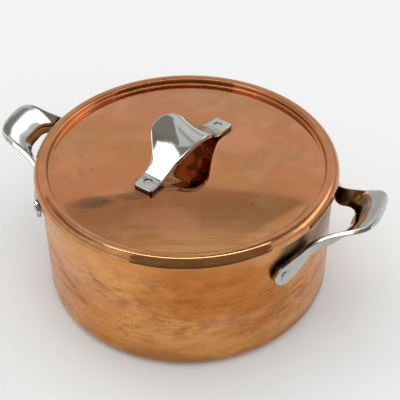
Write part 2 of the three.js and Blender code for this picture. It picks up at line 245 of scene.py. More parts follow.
# %% [markdown]
# ## The pot
#
# The pot is one copper disc pressed into a straight-sided vessel, with a small bend between base and wall.
# A cylinder with thickness would miss the bend, the rim and the lining, so its section is drawn once: the
# outer line from the middle of the base out and up to the rim, and the inner line back. Every line is the
# same curve at another depth, which is how a sheet of even thickness behaves. The steel lining is the same
# sheet further in. On the real pot the two are bonded, so here they touch.

# %% Pot and its lining
BEND_STEPS = 16
WALL_STEPS = 30


def pot_line(depth):
    """Base, bend and wall at a depth under the outer surface: a flat, an arc and an upright line."""
    bend = arc((POT_RADIUS - BASE_BEND, BASE_BEND), BASE_BEND - depth, -90, 0, BEND_STEPS)
    base = np.stack([np.linspace(0, POT_RADIUS - BASE_BEND, WALL_STEPS), np.full(WALL_STEPS, depth)], axis=1)
    height = np.linspace(BASE_BEND, POT_HEIGHT - CUT_EDGE, WALL_STEPS)
    wall = np.stack([np.full(WALL_STEPS, POT_RADIUS - depth), height], axis=1)
    return np.vstack([base[:-1], bend, wall[1:]])


def rim(outer_depth, inner_depth):
    """The cut rim between two depths: a flat with an arc of the cut edge's radius at either side."""
    top = POT_HEIGHT - CUT_EDGE
    outside = arc((POT_RADIUS - outer_depth - CUT_EDGE, top), CUT_EDGE, 0, 90, CUT_STEPS)
    inside = arc((POT_RADIUS - inner_depth + CUT_EDGE, top), CUT_EDGE, 90, 180, CUT_STEPS)
    return np.vstack([outside[1:], inside[:-1]])


def pot_sheet(name, outer_depth, inner_depth):
    """One sheet of the pot between two depths, closed on the axis at the middle of the base."""
    profile = np.vstack([pot_line(outer_depth), rim(outer_depth, inner_depth), pot_line(inner_depth)[::-1]])
    return revolve(name, profile)


pot_copper = pot_sheet("pot_copper_sheet", 0, POT_COPPER)
pot_steel = pot_sheet("pot_lining_sheet", POT_COPPER, POT_COPPER + BOND_GAP + POT_LINING)
print("pot sheets:", len(pot_copper.data.polygons), "and", len(pot_steel.data.polygons), "faces")

# %% [markdown]
# ## The lid
#
# The lid is a very low dome inside a rounded shoulder that sits over the pot's rim, with a narrow groove
# between them. Its section is a chain of arcs: the short skirt and the shoulder, the small brow where the
# shoulder drops, a fillet in the groove and the big sphere of the dome. Each arc starts where the last one
# ends and in the same direction, so they meet without a crease. That matters on polished metal, where a
# crease shows as a broken reflection.

# %% Lid and its lining
SHOULDER_STEPS = 28
BROW_STEPS = 12
FILLET_STEPS = 14
DOME_STEPS = 48


def lid_line(depth):
    """Shoulder, brow, fillet and dome at a depth under the upper surface, from the skirt to the apex."""
    shoulder = SKIRT_RADIUS - SHOULDER_RADIUS
    step = SHOULDER_RADIUS - BROW_RADIUS
    turn = np.radians(SHOULDER_TURN)
    brow = (shoulder + step * np.cos(turn), SHOULDER_HEIGHT + step * np.sin(turn))
    fillet = brow[0] - BROW_RADIUS - GROOVE_FILLET
    dome = DOME_APEX - DOME_RADIUS
    groove = dome + np.sqrt((DOME_RADIUS + GROOVE_FILLET) ** 2 - fillet**2)
    leave = np.degrees(np.arctan2(groove - dome, fillet)) - 180
    over = arc((shoulder, SHOULDER_HEIGHT), SHOULDER_RADIUS - depth, 0, SHOULDER_TURN, SHOULDER_STEPS)
    drop = arc(brow, BROW_RADIUS - depth, SHOULDER_TURN, 180, BROW_STEPS)
    under = arc((fillet, groove), GROOVE_FILLET + depth, 0, leave, FILLET_STEPS)
    top = arc((0, dome), DOME_RADIUS - depth, 180 + leave, 90, DOME_STEPS)
    top[-1, 0] = 0
    return np.vstack([over, drop[1:], under, top[1:]])


def skirt_edge(outer_depth, inner_depth):
    """The cut edge of the skirt from the inside to the outside: a flat with an arc at either side."""
    low = SKIRT_BOTTOM + CUT_EDGE
    edge = min(CUT_EDGE, (inner_depth - outer_depth) / 2)
    inside = arc((SKIRT_RADIUS - inner_depth + edge, low), edge, 180, 270, CUT_STEPS)
    outside = arc((SKIRT_RADIUS - outer_depth - edge, low), edge, 270, 360, CUT_STEPS)
    return np.vstack([inside, outside])


def lid_sheet(name, upper_depth, lower_depth):
    """One sheet of the lid between two depths, closed on the axis at the apex."""
    below, above = lid_line(lower_depth)[::-1], lid_line(upper_depth)
    return revolve(name, np.vstack([below, skirt_edge(upper_depth, lower_depth), above]))


lid_copper = lid_sheet("lid_copper_sheet", 0, LID_COPPER)
lid_steel = lid_sheet("lid_lining_sheet", LID_COPPER, LID_COPPER + BOND_GAP + LID_LINING)
print("lid sheets:", len(lid_copper.data.polygons), "and", len(lid_steel.data.polygons), "faces")

# %% [markdown]
# ## Straps between two edges
#
# The handles are the piece to look at on this pot. Each is a strip of 4 mm steel that is cut wider in the
# middle, then bent and twisted, so its two edges follow different curves in space. A section swept along
# one path can't do that. Here both edges are curves through a few waypoints, and the strap is what lies
# between them: at each station a straight line from edge to edge, bulged a little, and half the thickness
# to either side of it. Close to the outline the thickness falls away on a quarter circle, which rounds the
# edges, also round the ends of the pads.

# %% Curves for the edges
STATIONS = 300
SMOOTHING = 2.5  # stations: the spread of the average that takes the last kinks out of a curve


def curve_through(waypoints, share):
    """Centripetal Catmull-Rom curve: a cubic between waypoints whose end slopes come from the neighbours,
    each step weighed by the root of its length."""
    before = 2 * waypoints[:1] - waypoints[1:2]
    after = 2 * waypoints[-1:] - waypoints[-2:-1]
    chain = np.vstack([before, waypoints, after])
    spans = len(waypoints) - 1
    place = np.clip(share * spans, 0, spans - 1e-9)
    span = place.astype(int)
    t = (place - span)[:, None]
    p0, p1, p2, p3 = (chain[span + k] for k in range(4))
    d0, d1, d2 = (
        np.sqrt(np.linalg.norm(q - p, axis=1, keepdims=True)) for p, q in ((p0, p1), (p1, p2), (p2, p3))
    )
    m1 = ((p1 - p0) / d0 - (p2 - p0) / (d0 + d1) + (p2 - p1) / d1) * d1
    m2 = ((p2 - p1) / d1 - (p3 - p1) / (d1 + d2) + (p3 - p2) / d2) * d1
    return p1 + m1 * t + (3 * (p2 - p1) - 2 * m1 - m2) * t**2 + (2 * (p1 - p2) + m1 + m2) * t**3


def soften(curve):
    """Average of each point and its neighbours, weighed by a bell curve, with the ends held."""
    reach = int(3 * SMOOTHING)
    weight = np.exp(-0.5 * (np.arange(-reach, reach + 1) / SMOOTHING) ** 2)
    weight /= weight.sum()
    start = 2 * curve[0] - curve[reach:0:-1]
    end = 2 * curve[-1] - curve[-2 : -reach - 2 : -1]
    long = np.vstack([start, curve, end])
    return np.stack([np.convolve(long[:, k], weight, mode="valid") for k in range(3)], axis=1)


def edge_through(waypoints):
    """Softened curve along a strap's edge, with a point at each station."""
    return soften(curve_through(np.vstack(waypoints), np.linspace(0, 1, STATIONS + 1)))


def mirrored_edge(*half):
    """The same from half of its waypoints and their mirror images on the other side of y = 0."""
    half = np.vstack(half)
    return edge_through([half[:0:-1] * np.array([1, -1, 1]), half])


def fade(full, share_range):
    """A bulge that is gone in the legs and whole in the middle, by the smooth step 3s^2 - 2s^3."""
    share = 1 - np.abs(2 * np.linspace(0, 1, STATIONS + 1) - 1)
    s = np.clip((share - share_range[0]) / (share_range[1] - share_range[0]), 0, 1)
    return full * s * s * (3 - 2 * s)


print("each edge of a strap has", STATIONS + 1, "points")

# %% Strap from its stations
ACROSS = 36  # points across each broad face, closer together near the edges


def unit(vectors):
    """Vectors divided by their lengths."""
    return vectors / np.maximum(np.linalg.norm(vectors, axis=-1, keepdims=True), 1e-12)


def strap(name, left, right, face, bulge, to_outline):
    """Closed strap between two edges. At width x from its middle line a point lies at
    x across + bulge (1 - (2x / width)^2) up, moved by half the thickness, less a quarter circle near the
    outline."""
    count = len(left)
    chord = right - left
    width = np.linalg.norm(chord, axis=1)
    across = unit(chord)
    across[width < MERGE_DISTANCE] = across[np.flatnonzero(width >= MERGE_DISTANCE)[0]]
    normal = unit(face - across * np.einsum("ij,ij->i", face, across)[:, None])
    lane = np.sin(np.linspace(-np.pi / 2, np.pi / 2, ACROSS))
    x = 0.5 * width[:, None] * lane
    depth = np.clip(to_outline(x), 0, STRAP_EDGE)
    fall = STRAP_EDGE - np.sqrt(STRAP_EDGE**2 - (STRAP_EDGE - depth) ** 2)
    safe = np.maximum(width, MERGE_DISTANCE)[:, None]
    rise = bulge[:, None] * (1 - (2 * x / safe) ** 2)
    slope = -8 * bulge[:, None] * x / safe**2
    lean = 1 / np.hypot(1, slope)
    middle = (left + right) / 2
    sides = []
    for sign in (1, -1):
        height = sign * (STRAP_THICKNESS / 2 - fall)
        sides.append(
            middle[:, None]
            + across[:, None] * (x - height * slope * lean)[..., None]
            + normal[:, None] * (rise + height * lean)[..., None]
        )
    top, bottom = sides
    points = np.concatenate([top, bottom[:, ::-1]], axis=1).reshape(-1, 3)
    ring = 2 * ACROSS
    faces = grid_faces(count, ring)
    lane_number = np.arange(ACROSS - 1)
    cap = np.stack([lane_number, ring - 1 - lane_number, ring - 2 - lane_number, lane_number + 1], axis=1)
    faces = np.vstack([faces, cap, (count - 1) * ring + cap[:, ::-1]])
    travelled = np.concatenate([[0], np.cumsum(np.linalg.norm(np.diff(middle, axis=0), axis=1))])
    along = np.repeat(travelled, ring)
    lanes = np.concatenate([x, x[:, ::-1]], axis=1).ravel()
    return make_piece(name, points, faces, np.stack([along, lanes], axis=1))


print("a strap has", 2 * ACROSS, "points round it at each station")

# %% [markdown]
# ## Side handles
#
# Each pad of a side handle lies along the pot's wall, so its points are worked out on a cylinder: so far
# round from the rivet, so far up. The free end is half a disc about the rivet. From the pad the strap climbs
# towards the grip, where it has turned by more than a right angle and its broad face looks up.

# %% Edges of a side handle
# half of each edge, from the middle of the grip to the pad, in millimetres
GRIP_OUTER_EDGE = MM * np.array([
    [167.26, 0, 118.4],
    [166.97, 8.5, 118.2],
    [165.8, 16, 117.6],
    [162.8, 21.8, 116],
    [158, 25.2, 113.9],
    [150.5, 26.9, 111],
    [141.4, 28.6, 107.6],
    [129.8, 32.5, 102.6],
    [121, 39.2, 98.4],
    [115.2, 51, 96.2],
])
GRIP_INNER_EDGE = MM * np.array([
    [144.2, 0, 97.8],
    [144.2, 7.5, 97.7],
    [142.7, 13.2, 96.7],
    [138.2, 19, 94.3],
    [133.2, 23.6, 91.2],
    [127, 27, 88.3],
    [121.8, 32.5, 86.6],
    [117.6, 44.5, 83.6],
])
grip_width = np.linalg.norm(GRIP_OUTER_EDGE[0] - GRIP_INNER_EDGE[0])
print("the grip of a side handle is", grip_width.round(4), "m wide")

# %% Places on a side handle's pads


def on_pad(sign, along, across):
    """Point on the cylinder of a pad, from the rivet along the strap and across it."""
    along, across = np.broadcast_arrays(np.asarray(along, float), np.asarray(across, float))
    around = along * np.cos(PAD_RISE) - across * np.sin(PAD_RISE)
    up = along * np.sin(PAD_RISE) + across * np.cos(PAD_RISE)
    angle = PAD_ANGLE - around / PAD_RADIUS
    flat = [PAD_RADIUS * np.cos(angle), sign * PAD_RADIUS * np.sin(angle), PAD_HEIGHT + up]
    return np.stack(flat, axis=-1)


def turned(points, angle):
    """Points turned about Z."""
    c, s = np.cos(angle), np.sin(angle)
    return points @ np.array([[c, s, 0], [-s, c, 0], [0, 0, 1]])


def wall_axis(sign, turn):
    """Direction out of the wall at a side handle's rivet."""
    return turned(np.array([[np.cos(PAD_ANGLE), sign * np.sin(PAD_ANGLE), 0]]), turn)[0]


print("a side handle's first rivet is at", on_pad(1, 0, 0).round(4))

# %% Shape of a side handle
END_STATIONS = 24


def cut_holes(piece, holes):
    """Takes the holes' solids out of a piece with exact booleans, and deletes them."""
    for hole in holes:
        step = piece.modifiers.new("hole", "BOOLEAN")
        step.operation = "DIFFERENCE"
        step.solver = "EXACT"
        step.object = hole
    graph = bpy.context.evaluated_depsgraph_get()
    cut = bpy.data.meshes.new_from_object(piece.evaluated_get(graph))
    piece.modifiers.clear()
    piece.data = cut
    for hole in holes:
        bpy.data.objects.remove(hole)
    return piece


def side_handle(name, turn):
    """Strap whose pads lie on the wall and whose grip turns its broad face up, with its two rivet holes."""
    tip = PAD_WIDTH / 2
    outer_pad = [on_pad(1, PAD_TAPER, PAD_TAPER_HALF), on_pad(1, 0, tip)]
    inner_pad = [on_pad(1, PAD_TAPER, -tip), on_pad(1, 0, -tip)]
    right = mirrored_edge(GRIP_OUTER_EDGE, *outer_pad)
    left = mirrored_edge(GRIP_INNER_EDGE, *inner_pad)
    along = np.gradient(left + right, axis=0)
    face = unit(np.cross(right - left, along))
    bend = np.linspace(0, np.pi / 2, END_STATIONS + 1)[1:]
    reach, half = tip * np.sin(bend), tip * np.cos(bend)
    ends = {}
    for sign in (1, -1):
        middle = on_pad(sign, -reach, 0)
        inward = -middle * np.array([1, 1, 0])
        ends[sign] = (on_pad(sign, -reach, -half), on_pad(sign, -reach, half), unit(inward))
    left = np.vstack([ends[-1][0][::-1], left, ends[1][0]])
    right = np.vstack([ends[-1][1][::-1], right, ends[1][1]])
    face = np.vstack([ends[-1][2][::-1], face, ends[1][2]])
    none = np.zeros(END_STATIONS)
    bulge = np.concatenate([none, fade(GRIP_BULGE, GRIP_BULGE_SHARE), none])
    past = np.concatenate([reach[::-1], np.zeros(STATIONS + 1), reach])

    def to_outline(x):
        """Distance to the nearer side, or past a rivet to the half disc of the pad's end."""
        half_width = np.abs(x).max(axis=1, keepdims=True)
        in_end = tip - np.hypot(past[:, None], x)
        return np.where(past[:, None] > 0, in_end, half_width - np.abs(x))

    piece = strap(name, turned(left, turn), turned(right, turn), turned(face, turn), bulge, to_outline)
    return smooth(cut_holes(piece, [wall_rivet_hole(sign, turn) for sign in (1, -1)]))


# %% [markdown]
# ## Rivets
#
# The side handles stand a little off the wall on shouldered rivets: a domed head inside the pot, a collar
# behind the pad, and outside a countersunk cone with a raised button. The lid's rivets are ground off just
# under the pad's face. All are revolved sections with small rounded edges, because an edge without any
# width never catches the light.

# %% Heads and buttons of the rivets
RIVET_SEGMENTS = 64
CONE = 5 * MM
CONE_DEPTH = 1.8 * MM
CONE_SUNK = 0.1 * MM
BUTTON = 4 * MM
BUTTON_PROUD = 1.4 * MM
BUTTON_CROWN = 0.25 * MM
COLLAR = 6 * MM
POT_HEAD = 7 * MM
POT_HEAD_HEIGHT = 2.5 * MM
LID_HEAD = 6 * MM
LID_HEAD_HEIGHT = 2.2 * MM
LID_RIVET_SUNK = 0.7 * MM
RIVET_EDGE = 0.5 * MM
HEAD_STEPS = 14
BUTTON_STEPS = 5
CROWN_POINTS = 7


def domed_head(radius, rise, height):
    """Cap of a sphere that is radius wide and rise deep, from its top on the axis to its rim."""
    sphere = (radius**2 + rise**2) / (2 * rise)
    stop = np.degrees(np.arcsin(radius / sphere)) - 90
    cap = arc((0, height - rise + sphere), sphere, -90, stop, HEAD_STEPS)
    cap[0, 0] = 0
    return cap


def crowned_button(radius, top, crown):
    """Rounded edge and slightly domed top of a rivet's button, down to the axis."""
    edge = arc((radius - RIVET_EDGE, top - RIVET_EDGE), RIVET_EDGE, 0, 90, BUTTON_STEPS)
    share = np.linspace(1, 0, CROWN_POINTS + 1)[1:]
    dome = np.stack([(radius - RIVET_EDGE) * share, top + crown * (1 - share**2)], axis=1)
    return np.vstack([edge, dome])


print("the line of a rivet's head has", len(domed_head(POT_HEAD, POT_HEAD_HEIGHT, 0)), "points")

# %% Side handles and their rivets


def wall_rivet_hole(sign, turn):
    """Hole and countersink through a pad, measured from the strap's outer face."""
    hole = RIVET_SHANK + RIVET_CLEARANCE
    mouth = CONE + RIVET_CLEARANCE
    profile = np.array([
        [0, -2 * STRAP_THICKNESS],
        [hole, -2 * STRAP_THICKNESS],
        [hole, -CONE_DEPTH - RIVET_CLEARANCE],
        [mouth, 0],
        [mouth, STRAP_THICKNESS],
        [0, STRAP_THICKNESS],
    ])
    axis = wall_axis(sign, turn)
    origin = axis * (PAD_RADIUS + STRAP_THICKNESS / 2) + upright * PAD_HEIGHT
    return revolve("hole", profile, RIVET_SEGMENTS, origin, axis)


def wall_rivet(name, sign, turn):
    """Section from the head in the pot over shank, collar and cone to the button."""
    face = PAD_RADIUS + STRAP_THICKNESS / 2
    inner_wall = POT_RADIUS - POT_COPPER - BOND_GAP - POT_LINING
    lining = np.sqrt(inner_wall**2 - POT_HEAD**2) - RIVET_CLEARANCE / 2 - face
    wall = POT_RADIUS + RIVET_CLEARANCE / 4 - face
    strap_back = -STRAP_THICKNESS - RIVET_CLEARANCE / 4
    section = np.vstack([
        domed_head(POT_HEAD, POT_HEAD_HEIGHT, lining),
        [[RIVET_SHANK, lining], [RIVET_SHANK, wall]],
        [[COLLAR, wall], [COLLAR, strap_back]],
        [[RIVET_SHANK, strap_back], [RIVET_SHANK, -CONE_DEPTH], [CONE, -CONE_SUNK]],
        [[BUTTON, 0]],
        crowned_button(BUTTON, BUTTON_PROUD - BUTTON_CROWN, BUTTON_CROWN),
    ])
    axis = wall_axis(sign, turn)
    return revolve(name, section, RIVET_SEGMENTS, axis * face + upright * PAD_HEIGHT, axis)


side_pieces = {}
for side, turn in (("right", 0), ("left", np.pi)):
    side_pieces[f"side_handle_{side}"] = side_handle(f"side_strap_{side}", turn)
    for number, sign in ((1, 1), (2, -1)):
        node = f"side_rivet_{side}_{number}"
        side_pieces[node] = wall_rivet(f"wall_{node}", sign, turn)
for node, piece in side_pieces.items():
    print(node, len(piece.data.polygons), "faces")

# %% [markdown]
# ## The lid's handle
#
# The same strap function makes the lid's handle from its own two edges. Both legs climb steeply from their
# pads and open into a broad, hollow grip that stands 25 to 31 mm over the dome, its near edge bulging
# outwards. Seen from above, the grip hides its own height: the mirror image in the lid shows it, because a
# point at some height is mirrored as far under the copper. The pads are short, square ended with rounded
# corners, and lean with the dome. The handle was bent and placed by hand: its legs aren't quite alike, and
# it sits two millimetres off the middle, so it is slid over the dome by a small turn about the dome's
# centre, which keeps both pads flat on the copper.

# %% Edges of the lid handle
# the edges between the pads: along the handle, across it and above the pads' faces, in millimetres
FLANGE_EDGE = MM * np.array([
    [-40.5, 8.6, -0.7],
    [-36, 7.8, 3.6],
    [-31.5, 8.4, 9.4],
    [-27, 11.6, 16],
    [-22.4, 15.8, 22.2],
    [-16.3, 19.6, 26.8],
    [-7.9, 20.4, 28.4],
    [0.9, 19.1, 28.2],
    [8.3, 15.7, 25.4],
    [14.7, 12.2, 19.2],
    [21, 10, 11.2],
    [30, 9.6, 3],
    [39, 9.4, -1.3],
])
NEAR_EDGE = MM * np.array([
    [-43, -10, -1],
    [-38.5, -10.8, 1.8],
    [-33, -12, 5.6],
    [-27.5, -13.2, 9.8],
    [-23, -15.6, 13.6],
    [-18, -17.6, 17.3],
    [-13, -19.4, 20],
    [-7.5, -20.4, 22],
    [-2, -21, 22.6],
    [3.5, -21.3, 22],
    [8.5, -20.8, 20],
    [13, -18.8, 16.3],
    [18.5, -15.8, 11.2],
    [27, -12, 5.6],
    [36, -9.9, 0],
])
rises = [edge[:, 2].max().round(4) for edge in (FLANGE_EDGE, NEAR_EDGE)]
print("the grip's two edges rise", *rises, "m over the pads")

# %% Places on the dome
DOME_LEAN = np.arcsin(LID_RIVET_REACH / DOME_RADIUS)
PAD_FOOT = DOME_APEX - DOME_RADIUS + np.sqrt(DOME_RADIUS**2 - LID_RIVET_REACH**2)
PAD_SEAT = RIVET_CLEARANCE / 4
PAD_TOP = PAD_FOOT + PAD_SEAT + STRAP_THICKNESS


def slide(vectors):
    """Vectors tipped by the slide over the dome, about Y and then about X, and turned as the handle."""
    along, across = LID_HANDLE_SHIFT / DOME_RADIUS
    about_y = np.array([[np.cos(along), 0, -np.sin(along)], [0, 1, 0], [np.sin(along), 0, np.cos(along)]])
    about_x = np.array([[1, 0, 0], [0, np.cos(across), -np.sin(across)], [0, np.sin(across), np.cos(across)]])
    return turned(vectors @ about_y @ about_x, LID_HANDLE_TURN)


def on_dome(points):
    """Points moved from the lid's middle to the handle's place, about the dome's centre."""
    centre = upright * (DOME_APEX - DOME_RADIUS)
    return slide(points - centre) + centre


def lid_axis(sign):
    """Direction out of the dome at a lid rivet."""
    return slide(np.array([[sign * np.sin(DOME_LEAN), 0, np.cos(DOME_LEAN)]]))[0]


def lid_rivet_foot(sign):
    """Point on the dome under a lid rivet."""
    return on_dome(np.array([[sign * LID_RIVET_REACH, 0, PAD_FOOT]]))[0]


print("the lid's rivets stand at", lid_rivet_foot(1).round(4), "and", lid_rivet_foot(-1).round(4))

# %% Lid handle
PAD_STATIONS = 14


def lid_rivet_hole(sign):
    """Straight hole through a pad of the lid's handle."""
    radius = LID_RIVET_SHANK + RIVET_CLEARANCE
    reach = 3 * STRAP_THICKNESS
    profile = np.array([[0, -reach], [radius, -reach], [radius, reach], [0, reach]])
    return revolve("hole", profile, RIVET_SEGMENTS, lid_rivet_foot(sign), lid_axis(sign))


def lid_handle(name):
    """Strap on the dome: a pad, the flanged middle and the other pad."""
    half = (LID_PAD_FLANGE_SIDE + LID_PAD_NEAR_SIDE) / 2
    lean = LID_RIVET_REACH / DOME_RADIUS
    middle_height = -STRAP_THICKNESS / 2
    corners = {
        (sign, side): [sign * LID_RIVET_REACH, side, middle_height]
        for sign in (-1, 1)
        for side in (LID_PAD_FLANGE_SIDE, -LID_PAD_NEAR_SIDE)
    }
    left = edge_through([corners[-1, LID_PAD_FLANGE_SIDE], FLANGE_EDGE, corners[1, LID_PAD_FLANGE_SIDE]])
    right = edge_through([corners[-1, -LID_PAD_NEAR_SIDE], NEAR_EDGE, corners[1, -LID_PAD_NEAR_SIDE]])
    along = np.gradient(left + right, axis=0)
    face = unit(np.cross(right - left, along))
    straight = np.linspace(LID_RIVET_REACH, LID_PAD_END - LID_PAD_CORNER, PAD_STATIONS)[1:]
    bend = np.linspace(0, np.pi / 2, END_STATIONS + 1)[1:]
    reach = np.concatenate([straight, straight[-1] + LID_PAD_CORNER * np.sin(bend)])
    narrow = np.concatenate([np.zeros(len(straight)), LID_PAD_CORNER * (1 - np.cos(bend))])
    height = middle_height - (reach - LID_RIVET_REACH) * lean
    flange_side = {s: np.stack([s * reach, LID_PAD_FLANGE_SIDE - narrow, height], axis=1) for s in (1, -1)}
    near_side = {s: np.stack([s * reach, narrow - LID_PAD_NEAR_SIDE, height], axis=1) for s in (1, -1)}
    leaning = {s: np.tile(unit(np.array([s * lean, 0, 1])), (len(reach), 1)) for s in (1, -1)}
    left = np.vstack([flange_side[-1][::-1], left, flange_side[1]])
    right = np.vstack([near_side[-1][::-1], right, near_side[1]])
    face = np.vstack([leaning[-1][::-1], face, leaning[1]])
    none = np.zeros(len(reach))
    bulge = np.concatenate([none, fade(-FLANGE_SAG, FLANGE_SAG_SHARE), none])
    to_end = np.concatenate([reach[::-1], np.zeros(STATIONS + 1), reach])[:, None]

    def to_outline(x):
        """Distance to the nearer side or end, or in a pad's corner to the arc that rounds it."""
        half_width = np.abs(x).max(axis=1, keepdims=True)
        from_side = np.where(to_end > 0, half, half_width) - np.abs(x)
        from_end = LID_PAD_END - to_end
        in_corner = LID_PAD_CORNER - np.hypot(
            np.maximum(LID_PAD_CORNER - from_side, 0), np.maximum(LID_PAD_CORNER - from_end, 0)
        )
        beyond = np.maximum(from_side, from_end)
        rounded = np.where(beyond > LID_PAD_CORNER, np.minimum(from_side, from_end), in_corner)
        return np.where(to_end > 0, rounded, from_side)

    placed = [on_dome(edge + upright * PAD_TOP) for edge in (left, right)]
    piece = strap(name, *placed, slide(face), bulge, to_outline)
    return smooth(cut_holes(piece, [lid_rivet_hole(sign) for sign in (1, -1)]))


lid_pieces = {"lid_handle": lid_handle("lid_strap")}
print("lid_handle", len(lid_pieces["lid_handle"].data.polygons), "faces")

# %% Rivets of the lid handle


def lid_rivet(name, sign):
    """Section from the head under the lid over the shank to the end just under the pad's face."""
    under = -LID_COPPER - BOND_GAP - LID_LINING
    top = PAD_SEAT + STRAP_THICKNESS - LID_RIVET_SUNK
    section = np.vstack([
        domed_head(LID_HEAD, LID_HEAD_HEIGHT, under),
        [[LID_RIVET_SHANK, under]],
        crowned_button(LID_RIVET_SHANK, top, 0),
    ])
    return revolve(name, section, RIVET_SEGMENTS, lid_rivet_foot(sign), lid_axis(sign))


for number, sign in ((1, 1), (2, -1)):
    node = f"lid_rivet_{number}"
    lid_pieces[node] = lid_rivet(f"dome_{node}", sign)
    print(node, len(lid_pieces[node].data.polygons), "faces")

# %% [markdown]
# ## Nodes for worn metal
#
# Used metal is never one colour. The effects that several finishes share are small node groups, each built
# once: soft patches, fine scratches that run one way, and pits. They give masks between 0 and 1, and each
# material says what a mask does to its colour, gloss and relief. A few short functions come first, because
# a node tree that is written out link by link hides what it does.

# %% Nodes for values and noise


def add(tree, kind, values=None, **settings):
    """Adds a node with its settings. Each value goes into the input of that name or number, or is linked."""
    made = tree.nodes.new(kind)
    for key, setting in settings.items():
        setattr(made, key, setting)
    for key, value in (values or {}).items():
        if isinstance(value, bpy.types.NodeSocket):
            tree.links.new(value, made.inputs[key])
        else:
            made.inputs[key].default_value = value
    return made


def maths(tree, operation, *values):
    """Output of a Math node."""
    return add(tree, "ShaderNodeMath", dict(enumerate(values)), operation=operation).outputs[0]


def vector_maths(tree, operation, *values):
    """Output of a Vector Math node: a number for a dot product or a length, and a vector otherwise."""
    made = add(tree, "ShaderNodeVectorMath", dict(enumerate(values)), operation=operation)
    return made.outputs["Value" if operation in ("DOT_PRODUCT", "LENGTH") else "Vector"]


def noise(tree, vector, scale, detail=3.0, roughness=0.5, distortion=0.0):
    """Value of a noise texture."""
    values = dict(Vector=vector, Scale=scale, Detail=detail, Roughness=roughness, Distortion=distortion)
    return add(tree, "ShaderNodeTexNoise", values).outputs[0]


def ramp(tree, value, low, high, out_low=0.0, out_high=1.0):
    """Value carried from one range to another with a smooth step."""
    values = {"Value": value, "From Min": low, "From Max": high, "To Min": out_low, "To Max": out_high}
    return add(tree, "ShaderNodeMapRange", values, interpolation_type="SMOOTHSTEP").outputs[0]


def clouds(tree, vector, scale, limits, detail=3.0, roughness=0.5, out=(0.0, 1.0)):
    """Noise carried from its limits to an output range, which by default makes a mask of soft clouds."""
    return ramp(tree, noise(tree, vector, scale, detail, roughness), *limits, *out)


# %% Nodes for sums and colours


def plus(tree, base, mask, amount):
    """Base plus a mask times an amount."""
    return maths(tree, "MULTIPLY_ADD", mask, amount, base)


def minus(tree, base, mask, amount):
    """Base less a mask times an amount."""
    return maths(tree, "SUBTRACT", base, maths(tree, "MULTIPLY", mask, amount))


def mix(tree, factor, first, second, blend="MIX"):
    """Colour mixed from two: inputs 0, 6 and 7 are the factor and the colours, and output 2 is the colour."""
    values = {0: factor, 6: first, 7: second}
    return add(tree, "ShaderNodeMix", values, data_type="RGBA", blend_type=blend).outputs[2]


def tint(tree, colour, mask, other, strength):
    """Colour carried towards another by a mask times a strength."""
    return mix(tree, maths(tree, "MULTIPLY", mask, strength), colour, other)


# %% Node groups with named sockets
FLOAT = "NodeSocketFloat"
VECTOR = "NodeSocketVector"


def new_group(name, inputs, outputs):
    """Node group with named inputs, each a kind and a starting value, and named outputs."""
    group = bpy.data.node_groups.new(name, "ShaderNodeTree")
    for label, (kind, start) in inputs.items():
        socket = group.interface.new_socket(name=label, in_out="INPUT", socket_type=kind)
        if start is not None:
            socket.default_value = start
    for label in outputs:
        group.interface.new_socket(name=label, in_out="OUTPUT", socket_type=FLOAT)
    source = group.nodes.new("NodeGroupInput")
    sink = group.nodes.new("NodeGroupOutput")
    return group, source.outputs, sink.inputs


def use_group(tree, group, values):
    """Places a group in a material and gives its outputs."""
    return add(tree, "ShaderNodeGroup", values, node_tree=group).outputs


def tell_sockets(group):
    """Prints a group's name and its sockets."""
    print(group.name, "has the sockets", [socket.name for socket in group.interface.items_tree])


# %% Patches: soft islands of tarnish or haze
NOISE_LOW = 0.25  # nearly all of a noise lies between this and this plus the span
NOISE_SPAN = 0.5


def make_patches():
    """Noise at a size, cut to soft islands that cover the given share of the surface."""
    group, given, out = new_group(
        "soft_patches",
        {"Vector": (VECTOR, None), "Size": (FLOAT, 0.03), "Cover": (FLOAT, 0.5), "Softness": (FLOAT, 0.15)},
        ["Mask"],
    )
    scale = maths(group, "DIVIDE", 1.0, given["Size"])
    value = noise(group, given["Vector"], scale, detail=5, roughness=0.6, distortion=0.6)
    limit = maths(group, "SUBTRACT", 1.0, given["Cover"])
    limit = maths(group, "MULTIPLY_ADD", limit, NOISE_SPAN, NOISE_LOW)
    low = maths(group, "SUBTRACT", limit, given["Softness"])
    high = maths(group, "ADD", limit, given["Softness"])
    group.links.new(ramp(group, value, low, high), out["Mask"])
    return group


def patch(tree, vector, size, cover, softness):
    """Mask of patches of a size, in metres, that cover a share of the surface."""
    values = {"Vector": vector, "Size": size, "Cover": cover, "Softness": softness}
    return use_group(tree, patches, values)["Mask"]


patches = make_patches()
tell_sockets(patches)

# %% Scratches: noise drawn out in one direction
LINE_LIMIT = 0.72  # the noise shows as a line above this
LINE_LIMIT_DROP = 0.25  # which falls by so much at full density
LINE_SOFTNESS = 0.05
BREAK_SCALE = 60.0
BREAK_LIMITS = (0.42, 0.6)
LINE_DEPTH = 0.3


def make_scratches():
    """Noise on coordinates that are stretched most along one axis, so that thin lines cross that axis, broken
    up by a second noise."""
    group, given, out = new_group(
        "fine_scratches",
        {"Vector": (VECTOR, None), "Stretch": (VECTOR, (20, 20, 900)), "Density": (FLOAT, 0.3)},
        ["Mask", "Height"],
    )
    drawn = vector_maths(group, "MULTIPLY", given["Vector"], given["Stretch"])
    lines = noise(group, drawn, 1.0, detail=2, roughness=0.6)
    limit = plus(group, LINE_LIMIT, given["Density"], -LINE_LIMIT_DROP)
    mask = ramp(group, lines, limit, maths(group, "ADD", limit, LINE_SOFTNESS))
    breaks = clouds(group, given["Vector"], BREAK_SCALE, BREAK_LIMITS, detail=2)
    mask = maths(group, "MULTIPLY", mask, breaks)
    group.links.new(mask, out["Mask"])
    group.links.new(minus(group, lines, mask, LINE_DEPTH), out["Height"])
    return group


